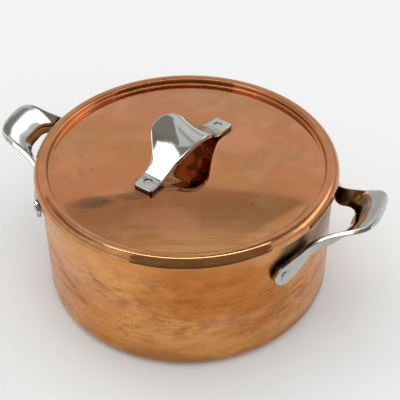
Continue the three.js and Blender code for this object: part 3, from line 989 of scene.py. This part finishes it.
def scratch(tree, vector, stretch, density):
    """Mask and height of scratches, whose stretch is per metre along each axis."""
    return use_group(tree, scratches, {"Vector": vector, "Stretch": stretch, "Density": density})


scratches = make_scratches()
tell_sockets(scratches)

# %% Pits: a few tiny dark spots


def make_pits():
    """Cells of the given size, of which only those with a low random number hold a small round pit."""
    group, given, out = new_group(
        "small_pits",
        {"Vector": (VECTOR, None), "Size": (FLOAT, 0.02), "Radius": (FLOAT, 0.08), "Share": (FLOAT, 0.3)},
        ["Mask"],
    )
    scale = maths(group, "DIVIDE", 1.0, given["Size"])
    cells = add(group, "ShaderNodeTexVoronoi", {"Vector": given["Vector"], "Scale": scale})
    core = maths(group, "MULTIPLY", given["Radius"], 0.5)
    dot = ramp(group, cells.outputs["Distance"], given["Radius"], core)
    red = add(group, "ShaderNodeSeparateColor", {0: cells.outputs["Color"]}).outputs[0]
    chosen = maths(group, "LESS_THAN", red, given["Share"])
    group.links.new(maths(group, "MULTIPLY", dot, chosen), out["Mask"])
    return group


def dotted(tree, vector, size, radius, share):
    """Mask of pits: one of a radius, as a share of its cell, in a share of the cells of a size in metres."""
    values = {"Vector": vector, "Size": size, "Radius": radius, "Share": share}
    return use_group(tree, pits, values)["Mask"]


pits = make_pits()
tell_sockets(pits)

# %% [markdown]
# ## Copper
#
# Polished copper is salmon pink, and heat and air turn it gold, brown and olive in uneven patches. The wall
# of this pot has gone golden orange, with brown smudges at mid height and fine marks that run round it, and
# near black painted shade lies behind the handles, where the straps shade the wall and darken what it
# mirrors.
# The lid is pinker and closer to a mirror, with stains that are each put in their place and painted shade of
# its handle round the pads. Both are metals, so nearly all of their colour is a tinted reflection: the base
# colour sets the tint, and roughness decides how sharp the reflection is.

# %% Start and end of a metal material
SPOT_GRAIN = 0.6  # cells of the noise in a spot's smallest half size
SPOT_LIMITS = (1.1, 0.5)  # distances at which a spot begins and is whole, in half sizes
HAZE_LIMITS = (0.35, 0.7)  # values of the noise between which a metal goes from glossy to hazy
finishes = {}


def new_metal(name):
    """Empty metal material: its node tree, its shader and the object coordinates."""
    material = bpy.data.materials.new(name)
    material.use_nodes = True
    tree = material.node_tree
    shader = tree.nodes["Principled BSDF"]
    shader.inputs["Metallic"].default_value = 1.0
    coordinates = tree.nodes.new("ShaderNodeTexCoord").outputs["Object"]
    return material, tree, shader, coordinates


def offset(tree, vector, x, y, z):
    """Vector moved, so that the same noise gives another pattern."""
    return vector_maths(tree, "ADD", vector, (x, y, z))


def stretched(tree, vector, by):
    """Vector multiplied along each axis, so that noise of scale 1 gets its own scale along each."""
    return vector_maths(tree, "MULTIPLY", vector, by)


def split(tree, vector):
    """The three parts of a vector."""
    return add(tree, "ShaderNodeSeparateXYZ", {0: vector}).outputs


def along_sight(tree, place):
    """Coordinates turned so that x runs across the picture and y away from its viewer, as marks are seen."""
    axes = (level_right, level_away, upright)
    parts = [vector_maths(tree, "DOT_PRODUCT", place, tuple(axis)) for axis in axes]
    return add(tree, "ShaderNodeCombineXYZ", dict(enumerate(parts))).outputs[0]


def spot(tree, place, centre, size, ragged=0.35):
    """Soft ellipsoid about a centre: the distance in half sizes, with noise added to make its outline ragged.
    The centre and the half sizes are in millimetres."""
    apart = vector_maths(tree, "SUBTRACT", place, tuple(MM * np.array(centre, float)))
    apart = vector_maths(tree, "DIVIDE", apart, tuple(MM * np.array(size, float)))
    uneven = noise(tree, place, SPOT_GRAIN / (MM * min(size)), detail=4, roughness=0.65)
    uneven = maths(tree, "MULTIPLY_ADD", uneven, 2 * ragged, -ragged)
    apart = maths(tree, "ADD", vector_maths(tree, "LENGTH", apart), uneven)
    return ramp(tree, apart, *SPOT_LIMITS)


def finish_metal(tree, shader, colour, rough, height, strength, distance):
    """Links colour and roughness to the shader, and a height through a bump of a strength and a depth."""
    tree.links.new(colour, shader.inputs["Base Color"])
    tree.links.new(rough, shader.inputs["Roughness"])
    values = {"Height": height, "Strength": strength, "Distance": distance}
    tree.links.new(add(tree, "ShaderNodeBump", values).outputs[0], shader.inputs["Normal"])


def keep_finish(slot, material):
    """Keeps a finish under the name of its slot and tells how many nodes it has."""
    finishes[slot] = material
    print(material.name, "for", slot, "has", len(material.node_tree.nodes), "nodes")


# %% Colours and marks of the wall
WALL_GOLD = (0.78, 0.365, 0.12, 1)
WALL_ORANGE = (0.67, 0.25, 0.06, 1)
WALL_BROWN = (0.36, 0.125, 0.035, 1)
WALL_PINK = (0.74, 0.40, 0.26, 1)
# near black colour of the painted shade behind the side handles' straps
WALL_PAINTED_SHADE = (0.085, 0.045, 0.025, 1)
WALL_EMBER = (0.52, 0.165, 0.028, 1)
# painted shade behind a side handle, where its straps shade the wall and are mirrored dark in it: middle and
# half sizes in millimetres
WALL_SHADE_SPOTS = (
    ((122, 0, 94), (20, 46, 22)),
    ((112, 48, 100), (22, 24, 15)),
    ((112, -48, 100), (22, 24, 15)),
    ((105, 64, 89), (12, 10, 12)),
    ((105, -64, 89), (12, 10, 12)),
)
# deeper orange areas: middle and half sizes across, away and up in millimetres
WALL_EMBERS = (((16, -120, 88), (62, 60, 40)), ((52, -108, 55), (32, 45, 36)))
WALL_MIDDLE = 60 * MM
WALL_MIDDLE_REACH = (60 * MM, 15 * MM)  # distances from there at which the smudges begin and are whole
WALL_FOOT = (30 * MM, 8 * MM)  # heights at which the darker foot begins and is whole
WALL_FLATTENED = (1, 1, 2.4)  # makes patches wider than high
SMUDGE_GRAIN = (60, 60, 150)
SCUFF_GRAIN = (45, 45, 560)
FINE_GRAIN = (22, 22, 1500)
COARSE_GRAIN = (14, 14, 420)
# the spots counted here are painted shade behind the straps
print("spots of dirt behind each side handle:", len(WALL_SHADE_SPOTS))

# %% Copper of the wall


def wall_stains(tree, place, flat):
    """Gold in orange, the deeper orange areas, brown smudges and scuffs near mid height, and speckle. Gives
    the colour and the amount of smudge."""
    gold = patch(tree, flat, size=0.11, cover=0.55, softness=0.2)
    colour = mix(tree, gold, WALL_ORANGE, WALL_GOLD)
    sight = along_sight(tree, place)
    ember = maths(tree, "MAXIMUM", *(spot(tree, sight, *area) for area in WALL_EMBERS))
    colour = tint(tree, colour, ember, WALL_EMBER, strength=0.75)
    from_middle = maths(tree, "SUBTRACT", split(tree, place)[2], WALL_MIDDLE)
    middle = ramp(tree, maths(tree, "ABSOLUTE", from_middle), *WALL_MIDDLE_REACH)
    brown = patch(tree, offset(tree, flat, 3.1, 0, 0.4), size=0.045, cover=0.5, softness=0.16)
    drawn = stretched(tree, place, SMUDGE_GRAIN)
    smudge = clouds(tree, drawn, 1.0, limits=(0.4, 0.6), detail=6, roughness=0.75)
    amount = maths(tree, "MULTIPLY", maths(tree, "MULTIPLY", brown, middle), smudge)
    colour = tint(tree, colour, amount, WALL_BROWN, strength=0.7)
    drawn = stretched(tree, place, SCUFF_GRAIN)
    scuffs = clouds(tree, drawn, 1.0, limits=(0.5, 0.62), detail=5, roughness=0.7)
    smudged = ramp(tree, smudge, low=0.3, high=0.9)
    scuffs = maths(tree, "MULTIPLY", maths(tree, "MULTIPLY", scuffs, smudged), middle)
    colour = tint(tree, colour, scuffs, WALL_BROWN, strength=0.55)
    speckle = clouds(tree, place, scale=420.0, limits=(0.5, 0.68), detail=4, roughness=0.7)
    speckle = maths(tree, "MULTIPLY", speckle, clouds(tree, flat, scale=35.0, limits=(0.4, 0.62)))
    return tint(tree, colour, speckle, WALL_BROWN, strength=0.4), amount


def wall_copper():
    """Golden copper with stains, pink wiped patches, scratches round the pot, painted shade behind the
    handles and a darker foot.
    """
    material, tree, shader, place = new_metal("worn_wall_copper")
    flat = stretched(tree, place, WALL_FLATTENED)
    colour, amount = wall_stains(tree, place, flat)
    pink = patch(tree, offset(tree, flat, 0, 7.3, 0), size=0.07, cover=0.22, softness=0.1)
    colour = tint(tree, colour, pink, WALL_PINK, strength=0.45)
    fine = scratch(tree, place, FINE_GRAIN, density=0.35)
    coarse = scratch(tree, offset(tree, place, 0, 2.2, 0), COARSE_GRAIN, density=0.2)
    marks = maths(tree, "MAXIMUM", maths(tree, "MULTIPLY", fine["Mask"], 0.5), coarse["Mask"])
    colour = tint(tree, colour, marks, WALL_GOLD, strength=0.35)
    dots = dotted(tree, place, size=0.011, radius=0.07, share=0.12)
    colour = tint(tree, colour, dots, WALL_BROWN, strength=0.6)
    # painted shade on the wall behind each side handle's grip and legs
    for side in (1, -1):
        for (x, y, z), size in WALL_SHADE_SPOTS:
            behind_strap_shade = spot(tree, place, (side * x, side * y, z), size, ragged=0.3)
            colour = tint(tree, colour, behind_strap_shade, WALL_PAINTED_SHADE, strength=0.85)
    foot = ramp(tree, split(tree, place)[2], *WALL_FOOT)
    foot = maths(tree, "MULTIPLY", foot, clouds(tree, flat, scale=24.0, limits=(0.4, 0.6), detail=4))
    colour = tint(tree, colour, foot, WALL_BROWN, strength=0.7)
    rough = clouds(tree, flat, scale=30.0, limits=HAZE_LIMITS, detail=4, out=(0.2, 0.33))
    rough = plus(tree, rough, amount, 0.12)
    rough = plus(tree, rough, marks, 0.1)
    surface = plus(tree, fine["Height"], noise(tree, place, scale=14.0, detail=1), 3.0)
    surface = minus(tree, surface, dots, 0.6)
    finish_metal(tree, shader, colour, rough, surface, strength=0.5, distance=0.12 * MM)
    return material


keep_finish("pot_copper", wall_copper())

# %% Colours and stains of the lid
LID_PINK = (0.562, 0.208, 0.097, 1)
LID_TAN = (0.52, 0.212, 0.078, 1)
LID_OLIVE = (0.40, 0.235, 0.095, 1)
LID_BROWN = (0.26, 0.11, 0.045, 1)
LID_STRAW = (0.62, 0.36, 0.13, 1)
LID_SMOKE = (0.22, 0.14, 0.075, 1)
LID_PALE = (0.76, 0.34, 0.19, 1)
# dark colour of the painted shade and painted reflection of the handle round its pads
LID_HANDLE_SHADE = (0.16, 0.085, 0.045, 1)
# each stain: middle across and away, half sizes, strength and colour; millimetres
LID_STAINS = (
    ((-73, -55), (19, 8), 0.8, LID_SMOKE),
    ((-42, -50), (16, 6), 0.6, LID_SMOKE),
    ((12, -56), (26, 5), 0.35, LID_OLIVE),
    ((-20, -74), (32, 13), 0.55, LID_PALE),
    ((-6, -88), (20, 14), 0.45, LID_PALE),
    ((40, 20), (30, 22), 0.35, LID_PALE),
    ((-50, 40), (24, 14), 0.3, LID_OLIVE),
    ((58, -78), (17, 18), 0.45, LID_OLIVE),
    ((30, -92), (44, 9), 0.45, LID_STRAW),
    ((66, -58), (16, 9), 0.4, LID_STRAW),
    ((-86, 20), (20, 14), 0.3, LID_OLIVE),
)
LID_SPECKS = ((-102, 7), (-88, 4), (-77, -15), (-48, 8), (108, 10), (52, -60))
LID_SPECK_SIZE = (1.3, 1.1, 9)
LID_FACE = 121  # height of the lid's face in millimetres
LID_STAIN_DEPTH = 12
LID_FRONT = (-62 * MM, -98 * MM)  # places at which the streaks in front begin and are whole
LID_HANDLE_SHADE_SIZE = (14.5, 14.5, 8)  # half sizes of the painted shade of the handle round a pad, in millimetres
STREAK_GRAIN = (14, 170, 40)
STREAK_SHARE = 0.55  # how far the streaks break up a stain
HAIR_GRAIN = (18, 1100, 18)
HAIR_ANGLES = (0.35, 1.25, 2.2)
print("stains on the lid:", len(LID_STAINS), "and dark specks:", len(LID_SPECKS))

# %% Copper of the lid


def lid_patches(tree, place):
    """Tan in pink, olive islands, small freckles and a pale blush. Gives the colour and the olive mask."""
    tan = patch(tree, place, size=0.09, cover=0.5, softness=0.2)
    colour = mix(tree, tan, LID_PINK, LID_TAN)
    olive = patch(tree, offset(tree, place, 5.2, 1.0, 0), size=0.06, cover=0.3, softness=0.16)
    colour = tint(tree, colour, olive, LID_OLIVE, strength=0.55)
    freckles = patch(tree, offset(tree, place, 0, 4.1, 2.2), size=0.016, cover=0.42, softness=0.12)
    colour = tint(tree, colour, freckles, LID_OLIVE, strength=0.3)
    blush = patch(tree, offset(tree, place, 8.1, 0, 1.2), size=0.035, cover=0.4, softness=0.15)
    return tint(tree, colour, blush, LID_PALE, strength=0.35), olive


def lid_stains_and_handle_shade(tree, place, sight, colour):
    """Straw streaks inside the front of the rim, the stains in their places, and painted shade of the handle
    round the two pads.
    """
    drawn = stretched(tree, sight, STREAK_GRAIN)
    streaks = clouds(tree, drawn, 1.0, limits=(0.4, 0.62), detail=4, roughness=0.65)
    front_rim = maths(tree, "MULTIPLY", ramp(tree, split(tree, sight)[1], *LID_FRONT), streaks)
    colour = tint(tree, colour, front_rim, LID_STRAW, strength=0.6)
    for centre, size, strength, tone in LID_STAINS:
        mask = spot(tree, sight, (*centre, LID_FACE), (*size, LID_STAIN_DEPTH))
        if tone is not LID_PALE:
            mask = maths(tree, "MULTIPLY", mask, plus(tree, 1 - STREAK_SHARE, streaks, STREAK_SHARE))
        colour = tint(tree, colour, mask, tone, strength)
    # painted shade and reflection of the handle on the lid round each pad
    for sign in (1, -1):
        handle_shade = spot(tree, place, lid_rivet_foot(sign) / MM, LID_HANDLE_SHADE_SIZE, ragged=0.12)
        colour = tint(tree, colour, handle_shade, LID_HANDLE_SHADE, strength=0.6)
    return colour


def lid_hairs(tree, place):
    """Mask of hairlines in three directions."""
    hairs = None
    for number, angle in enumerate(HAIR_ANGLES):
        values = {"Vector": place, "Rotation": (0, 0, angle), "Location": (number, 0, 0)}
        turned_place = add(tree, "ShaderNodeMapping", values).outputs[0]
        one = scratch(tree, turned_place, HAIR_GRAIN, density=0.25)["Mask"]
        hairs = one if hairs is None else maths(tree, "MAXIMUM", hairs, one)
    return hairs


def lid_copper_finish():
    """Pinker copper near a mirror, with stains, painted shade round the handle's pads, hairlines, pits and
    dark specks.
    """
    material, tree, shader, place = new_metal("worn_lid_copper")
    sight = along_sight(tree, place)
    colour, olive = lid_patches(tree, place)
    colour = lid_stains_and_handle_shade(tree, place, sight, colour)
    hairs = lid_hairs(tree, place)
    colour = tint(tree, colour, hairs, LID_PINK, strength=0.3)
    dots = dotted(tree, place, size=0.02, radius=0.05, share=0.2)
    colour = tint(tree, colour, dots, LID_BROWN, strength=0.8)
    for centre in LID_SPECKS:
        speck = spot(tree, sight, (*centre, LID_FACE), LID_SPECK_SIZE, ragged=0.1)
        colour = tint(tree, colour, speck, LID_BROWN, strength=0.85)
    rough = clouds(tree, place, scale=22.0, limits=HAZE_LIMITS, detail=4, out=(0.035, 0.08))
    rough = plus(tree, rough, olive, 0.05)
    rough = plus(tree, rough, hairs, 0.08)
    surface = maths(tree, "MULTIPLY", noise(tree, place, scale=16.0, detail=1), 2.0)
    surface = minus(tree, surface, hairs, 0.12)
    surface = maths(tree, "SUBTRACT", surface, dots)
    finish_metal(tree, shader, colour, rough, surface, strength=0.5, distance=0.1 * MM)
    return material


keep_finish("lid_copper", lid_copper_finish())

# %% [markdown]
# ## Steel
#
# The handles are polished bright along their length, and the lid handle's low edges near its pads are
# darkened with painted shade. The lining is brushed on a turning lathe, so its fine lines run round the axis,
# and cooking has left it a little straw coloured in places.

# %% Polished steel of the handles and satin steel of the rivets
STEEL = (0.57, 0.57, 0.545, 1)
STEEL_WARM = (0.49, 0.485, 0.45, 1)
# near black colour of the painted shade on the lid handle's low parts
STEEL_DULL = (0.36, 0.36, 0.34, 1)
STEEL_PAINTED_SHADE = (0.12, 0.09, 0.07, 1)
STRIP_GRAIN = (30, 1600, 1)
LOW_SHADE_RADIUS = (75 * MM, 70 * MM)  # the lid handle lies inside this distance from the axis
LOW_SHADE_HEIGHT = (126.6 * MM, 125.5 * MM)


def handle_steel():
    """Bright steel with fine marks along the strap, wiped haze, small dents and painted shade along the low
    edges.
    """
    material, tree, shader, place = new_metal("polished_handle_steel")
    warm = patch(tree, place, size=0.03, cover=0.4, softness=0.2)
    colour = mix(tree, warm, STEEL, STEEL_WARM)
    strip = add(tree, "ShaderNodeUVMap", uv_map="along_strap").outputs[0]
    lines = scratch(tree, strip, STRIP_GRAIN, density=0.3)["Mask"]
    colour = tint(tree, colour, lines, STEEL_DULL, strength=0.4)
    dots = dotted(tree, place, size=0.006, radius=0.08, share=0.1)
    colour = tint(tree, colour, dots, STEEL_DULL, strength=0.5)
    # painted shade on the lid handle's parts that lie low and near the axis, by its pads
    from_axis = vector_maths(tree, "LENGTH", stretched(tree, place, (1, 1, 0)))
    near_axis = ramp(tree, from_axis, *LOW_SHADE_RADIUS)
    low = maths(tree, "MULTIPLY", near_axis, ramp(tree, split(tree, place)[2], *LOW_SHADE_HEIGHT))
    colour = tint(tree, colour, low, STEEL_PAINTED_SHADE, strength=0.9)
    rough = clouds(tree, place, scale=60.0, limits=HAZE_LIMITS, detail=4, out=(0.07, 0.14))
    rough = plus(tree, rough, lines, 0.12)
    surface = minus(tree, noise(tree, place, scale=70.0, detail=2), dots, 0.8)
    surface = plus(tree, surface, lines, -0.1)
    finish_metal(tree, shader, colour, rough, surface, strength=0.4, distance=0.08 * MM)
    return material


def rivet_steel():
    """Satin steel, a little darker, with small marks in all directions."""
    material, tree, shader, place = new_metal("satin_rivet_steel")
    worn = noise(tree, place, scale=900.0, detail=4, roughness=0.7)
    colour = mix(tree, ramp(tree, worn, low=0.4, high=0.65), STEEL_WARM, STEEL)
    rough = ramp(tree, worn, low=0.3, high=0.7, out_low=0.2, out_high=0.34)
    finish_metal(tree, shader, colour, rough, worn, strength=0.5, distance=0.05 * MM)
    return material


keep_finish("handle_steel", handle_steel())
keep_finish("rivet_steel", rivet_steel())

# %% Brushed steel of the linings
LINING = (0.60, 0.60, 0.57, 1)
LINING_STRAW = (0.58, 0.53, 0.42, 1)
BRUSH_SCALE = 2600.0


def lining_steel():
    """Steel brushed round the axis: noise on the distance from the axis and the height, with heat tints."""
    material, tree, shader, place = new_metal("brushed_lining_steel")
    parts = split(tree, place)
    flat = add(tree, "ShaderNodeCombineXYZ", {0: parts[0], 1: parts[1]}).outputs[0]
    radius = vector_maths(tree, "LENGTH", flat)
    rings = add(tree, "ShaderNodeCombineXYZ", {0: radius, 1: parts[2]}).outputs[0]
    brushed = noise(tree, rings, BRUSH_SCALE, detail=3, roughness=0.7)
    straw = patch(tree, place, size=0.07, cover=0.4, softness=0.2)
    colour = tint(tree, LINING, straw, LINING_STRAW, strength=0.6)
    shade = ramp(tree, brushed, low=0.3, high=0.7, out_low=0.86, out_high=1.0)
    grey = add(tree, "ShaderNodeCombineColor", {0: shade, 1: shade, 2: shade}).outputs[0]
    colour = mix(tree, 1.0, colour, grey, "MULTIPLY")
    rough = ramp(tree, brushed, low=0.3, high=0.7, out_low=0.22, out_high=0.36)
    finish_metal(tree, shader, colour, rough, brushed, strength=0.35, distance=0.06 * MM)
    return material


keep_finish("lining_steel", lining_steel())

# %% [markdown]
# ## Seating the pieces
#
# Each fine piece stands for its plain solid and moves with the same body: the pot stays, and the lid lifts
# off with its handle. Its slot names the finish in the part's record.

# %% Dress the bodies


def seat(piece, node, body, slot):
    """Gives a piece its finish and its body, and hides the plain solid that it stands for."""
    piece.data.materials.clear()
    piece.data.materials.append(finishes[slot])
    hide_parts(node)
    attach(piece, body)


seat(pot_copper, "pot_body", "pot", "pot_copper")
seat(pot_steel, "pot_lining", "pot", "lining_steel")
for node, piece in side_pieces.items():
    seat(piece, node, "pot", "rivet_steel" if "rivet" in node else "handle_steel")
seat(lid_copper, "lid_shell", "lid", "lid_copper")
seat(lid_steel, "lid_lining", "lid", "lining_steel")
for node, piece in lid_pieces.items():
    seat(piece, node, "lid", "rivet_steel" if "rivet" in node else "handle_steel")

# %% [markdown]
# ## Floor and light
#
# Metal shows its surroundings more than itself. A pale room gives it pale reflections, and without
# anything darker it looks like plastic, so the room has what a studio has: a bright window, a dark corner
# of the ceiling, a darker opening high behind the pot and dark equipment in front. The room is a colour
# that depends on the direction alone, so its parts are masks of the direction. A low dark card stands in
# front of the pot and only reflections see it: it draws the dark line along the lid's skirt. Two ceiling
# lamps each light one metal, and two broad suns light the plain floor, which takes a soft shadow.

# %% Panels: the floor and a dark card in front
FLOOR_SIZE = 20.0
FLOOR_COLOUR = (0.80, 0.82, 0.825, 1)
FLOOR_SHEEN = 0.2
PANEL_ROUGHNESS = 0.9
CARD_AWAY = -250 * MM
CARD_SIDES = (-145 * MM, 285 * MM)
CARD_HEIGHTS = (20 * MM, 116 * MM)
CARD_COLOUR = (0.25, 0.22, 0.2, 1)
STANDARD_SHEEN = 0.5


def panel(name, corners, finish, colour, sheen):
    """Flat panel between four corners with a plain, dull material."""
    mesh = bpy.data.meshes.new(name)
    mesh.from_pydata([tuple(corner) for corner in corners], [], [(0, 1, 2, 3)])
    material = bpy.data.materials.new(finish)
    material.use_nodes = True
    shader = material.node_tree.nodes["Principled BSDF"]
    shader.inputs["Base Color"].default_value = colour
    shader.inputs["Roughness"].default_value = PANEL_ROUGHNESS
    shader.inputs["Specular IOR Level"].default_value = sheen
    mesh.materials.append(material)
    made = bpy.data.objects.new(name, mesh)
    bpy.context.scene.collection.objects.link(made)
    return made


def card_corner(side, height):
    """Corner of the card, a little nearer to the viewer than the pot."""
    return level_right * side + level_away * CARD_AWAY + upright * height


half = FLOOR_SIZE / 2
floor_corners = [(-half, -half, 0), (half, -half, 0), (half, half, 0), (-half, half, 0)]
floor = panel("floor", floor_corners, "pale_floor", FLOOR_COLOUR, FLOOR_SHEEN)
card_left, card_right = CARD_SIDES
card_low, card_high = CARD_HEIGHTS
card_places = [(card_left, card_low), (card_left, card_high), (card_right, card_high), (card_right, card_low)]
card_corners = [card_corner(*place) for place in card_places]
card = panel("dark_card", card_corners, "black_card", CARD_COLOUR, STANDARD_SHEEN)
for ray in ("camera", "diffuse", "shadow", "transmission"):
    setattr(card, f"visible_{ray}", False)
print("floor", FLOOR_SIZE, "m wide, card", round(card_high - card_low, 3), "m high")

# %% Masks for parts of the room
GRAZING = 0.02  # a direction meets a wall if its part towards the wall is above this
LEAST_AHEAD = 1e-4  # keeps the division by that part away from zero
world = bpy.data.worlds.new("room")
world.use_nodes = True
bpy.context.scene.world = world
sky = world.node_tree
direction = sky.nodes.new("ShaderNodeTexCoord").outputs["Generated"]


def part_along(axis):
    """The direction's part along an axis."""
    return vector_maths(sky, "DOT_PRODUCT", direction, tuple(axis))


def opening(towards, sideways, up, middle, half_size, softness):
    """Mask of a rectangle on a wall at unit distance: a direction meets the wall at its side and up parts
    divided by its part towards the wall."""
    ahead = part_along(towards)
    safe = maths(sky, "MAXIMUM", ahead, LEAST_AHEAD)
    mask = ramp(sky, ahead, 0.0, GRAZING)
    for axis, centre, half in zip((sideways, up), middle, half_size):
        place = maths(sky, "DIVIDE", part_along(axis), safe)
        away = maths(sky, "ABSOLUTE", maths(sky, "SUBTRACT", place, centre))
        mask = maths(sky, "MULTIPLY", mask, ramp(sky, away, half + softness, half - softness))
    return mask


def bearing(degrees):
    """Level direction, in degrees to the right of straight away from the viewer."""
    return level_away * np.cos(np.radians(degrees)) + level_right * np.sin(np.radians(degrees))


def on_ceiling(right, away):
    """Level line on the ceiling, from its parts to the right and away."""
    return level_right * right + level_away * away


print("world:", world.name)

# %% Room
ROOM_GREY = (0.84, 0.84, 0.84, 1)
LOW_GREY = (0.6, 0.6, 0.59, 1)
LOW_RISE = (0.38, 0.28)
HORIZON_GREY = (0.86, 0.87, 0.87, 1)
HORIZON_RISE = (0.09, 0.03)
BEHIND_GREY = (0.515, 0.5, 0.475, 1)
BEHIND_LEAN = 0.4
BEHIND_LEAST_AHEAD = 0.01
BEHIND_FADING = {"low": 1.2, "high": 1.7, "out_low": 1.0, "out_high": 0.1}
CORNER_GREY = (0.30, 0.29, 0.265, 1)
CORNER_SIDES = (on_ceiling(-0.51, -0.86), on_ceiling(-0.577, 0.816))
FRONT_BROWN = (0.27, 0.24, 0.21, 1)
FRONT_LEANS = (0.244, 0.444)
WINDOW_WHITE = (2.1, 2.15, 2.2, 1)
WINDOW_BEARING = 62
BEAM_GREY = (0.33, 0.33, 0.31, 1)

# the room is even above, dimmer lower down, and meets the pale floor at the horizon
rise = part_along(upright)
colour = mix(sky, ramp(sky, rise, *LOW_RISE), ROOM_GREY, LOW_GREY)
colour = mix(sky, ramp(sky, rise, *HORIZON_RISE), colour, HORIZON_GREY)
# the darker opening high behind the pot: its right side leans and its top fades
leaning = level_right + BEHIND_LEAN * upright
behind = opening(level_away, leaning, upright, middle=(-0.4, 1.5), half_size=(1.21, 0.47), softness=0.012)
ahead = maths(sky, "MAXIMUM", part_along(level_away), BEHIND_LEAST_AHEAD)
height = maths(sky, "DIVIDE", rise, ahead)
behind = maths(sky, "MULTIPLY", behind, ramp(sky, height, **BEHIND_FADING))
colour = mix(sky, behind, colour, BEHIND_GREY)
# the dark part of the ceiling: a corner to the left, open to the right as far as a little past the zenith
corner = opening(upright, *CORNER_SIDES, middle=(-0.63, -0.61), half_size=(0.97, 0.99), softness=0.02)
near = opening(upright, level_right, level_away, middle=(-0.1, 0.1), half_size=(0.8, 1.0), softness=0.03)
colour = mix(sky, maths(sky, "MULTIPLY", corner, near), colour, CORNER_GREY)
# the darker equipment in front widens upwards: one mask ends it on the left and one on the right
left_lean, right_lean = FRONT_LEANS
leaning = -level_right - left_lean * upright
left_end = opening(-level_away, leaning, upright, middle=(-4.34, 2.0), half_size=(5.0, 3.2), softness=0.03)
leaning = -level_right + right_lean * upright
right_end = opening(-level_away, leaning, upright, middle=(3.7, 2.0), half_size=(5.0, 3.2), softness=0.03)
colour = mix(sky, maths(sky, "MULTIPLY", left_end, right_end), colour, FRONT_BROWN)
# a window to the right behind the pot, and a dark beam to the left
towards, sideways = bearing(WINDOW_BEARING), bearing(WINDOW_BEARING + 90)
window = opening(towards, sideways, upright, middle=(0.15, 0.77), half_size=(0.45, 0.25), softness=0.04)
colour = mix(sky, window, colour, WINDOW_WHITE)
beam = opening(upright, level_right, level_away, middle=(-1.05, 0.32), half_size=(0.42, 0.4), softness=0.02)
colour = mix(sky, beam, colour, BEAM_GREY)
sky.links.new(colour, sky.nodes["Background"].inputs["Color"])
print("room:", len(sky.nodes), "nodes")

# %% Broad lamps for the floor
KEY_FROM = level_right * -0.45 + level_away * 0.3 + upright * 1.6
FILL_FROM = level_right * 0.5 - level_away * 0.9 + upright * 1.2


def broad_light(name, towards, spread, strength):
    """Very wide, even light from a direction, which metal doesn't mirror. The spread is in degrees."""
    lamp = bpy.data.objects.new(name, bpy.data.lights.new(name, "SUN"))
    lamp.data.angle = np.radians(spread)
    lamp.data.energy = strength
    lamp.visible_glossy = False
    back = unit(towards)
    right = unit(np.cross(level_away, back))
    place_object(lamp, right, np.cross(back, right), back)
    return lamp


broad_lights = [
    broad_light("key", KEY_FROM, spread=60, strength=0.95),
    broad_light("fill", FILL_FROM, spread=80, strength=1.12),
]
print("broad lamps:", [lamp.name for lamp in broad_lights])

# %% Two ceiling lights, each for one metal
CEILING = 1.25
WINDOW_LINE = on_ceiling(0.86, -0.51)
WINDOW_PLACE = 1.13 * (WINDOW_LINE * -0.45 + CORNER_SIDES[0] * 0.74)


def ceiling_light(name, place, along, size, power, pieces):
    """Rectangular lamp that shines straight down on the given pieces alone, its length along a level line."""
    lamp = bpy.data.objects.new(name, bpy.data.lights.new(name, "AREA"))
    lamp.data.shape = "RECTANGLE"
    lamp.data.size, lamp.data.size_y = size
    lamp.data.energy = power
    lamp.visible_camera = False
    along = unit(along)
    place_object(lamp, along, np.cross(upright, along), upright, place + upright * CEILING)
    lit = bpy.data.collections.new(f"lit_by_{name}")
    for piece in pieces:
        lit.objects.link(piece)
    lamp.light_linking.receiver_collection = lit
    return lamp


copper_pieces = [pot_copper, lid_copper]
steel_pieces = [*side_pieces.values(), *lid_pieces.values(), pot_steel, lid_steel]
ceiling_lights = [
    ceiling_light("crest_strip", np.zeros(3), level_right, (1.3, 0.11), 2.8, copper_pieces),
    ceiling_light("left_window", WINDOW_PLACE, WINDOW_LINE, (1.7, 0.84), 10.5, steel_pieces),
]
print("ceiling lamps:", [lamp.name for lamp in ceiling_lights])

# %% Colours as written
bpy.context.scene.view_settings.view_transform = "Standard"
print("view transform:", bpy.context.scene.view_settings.view_transform)
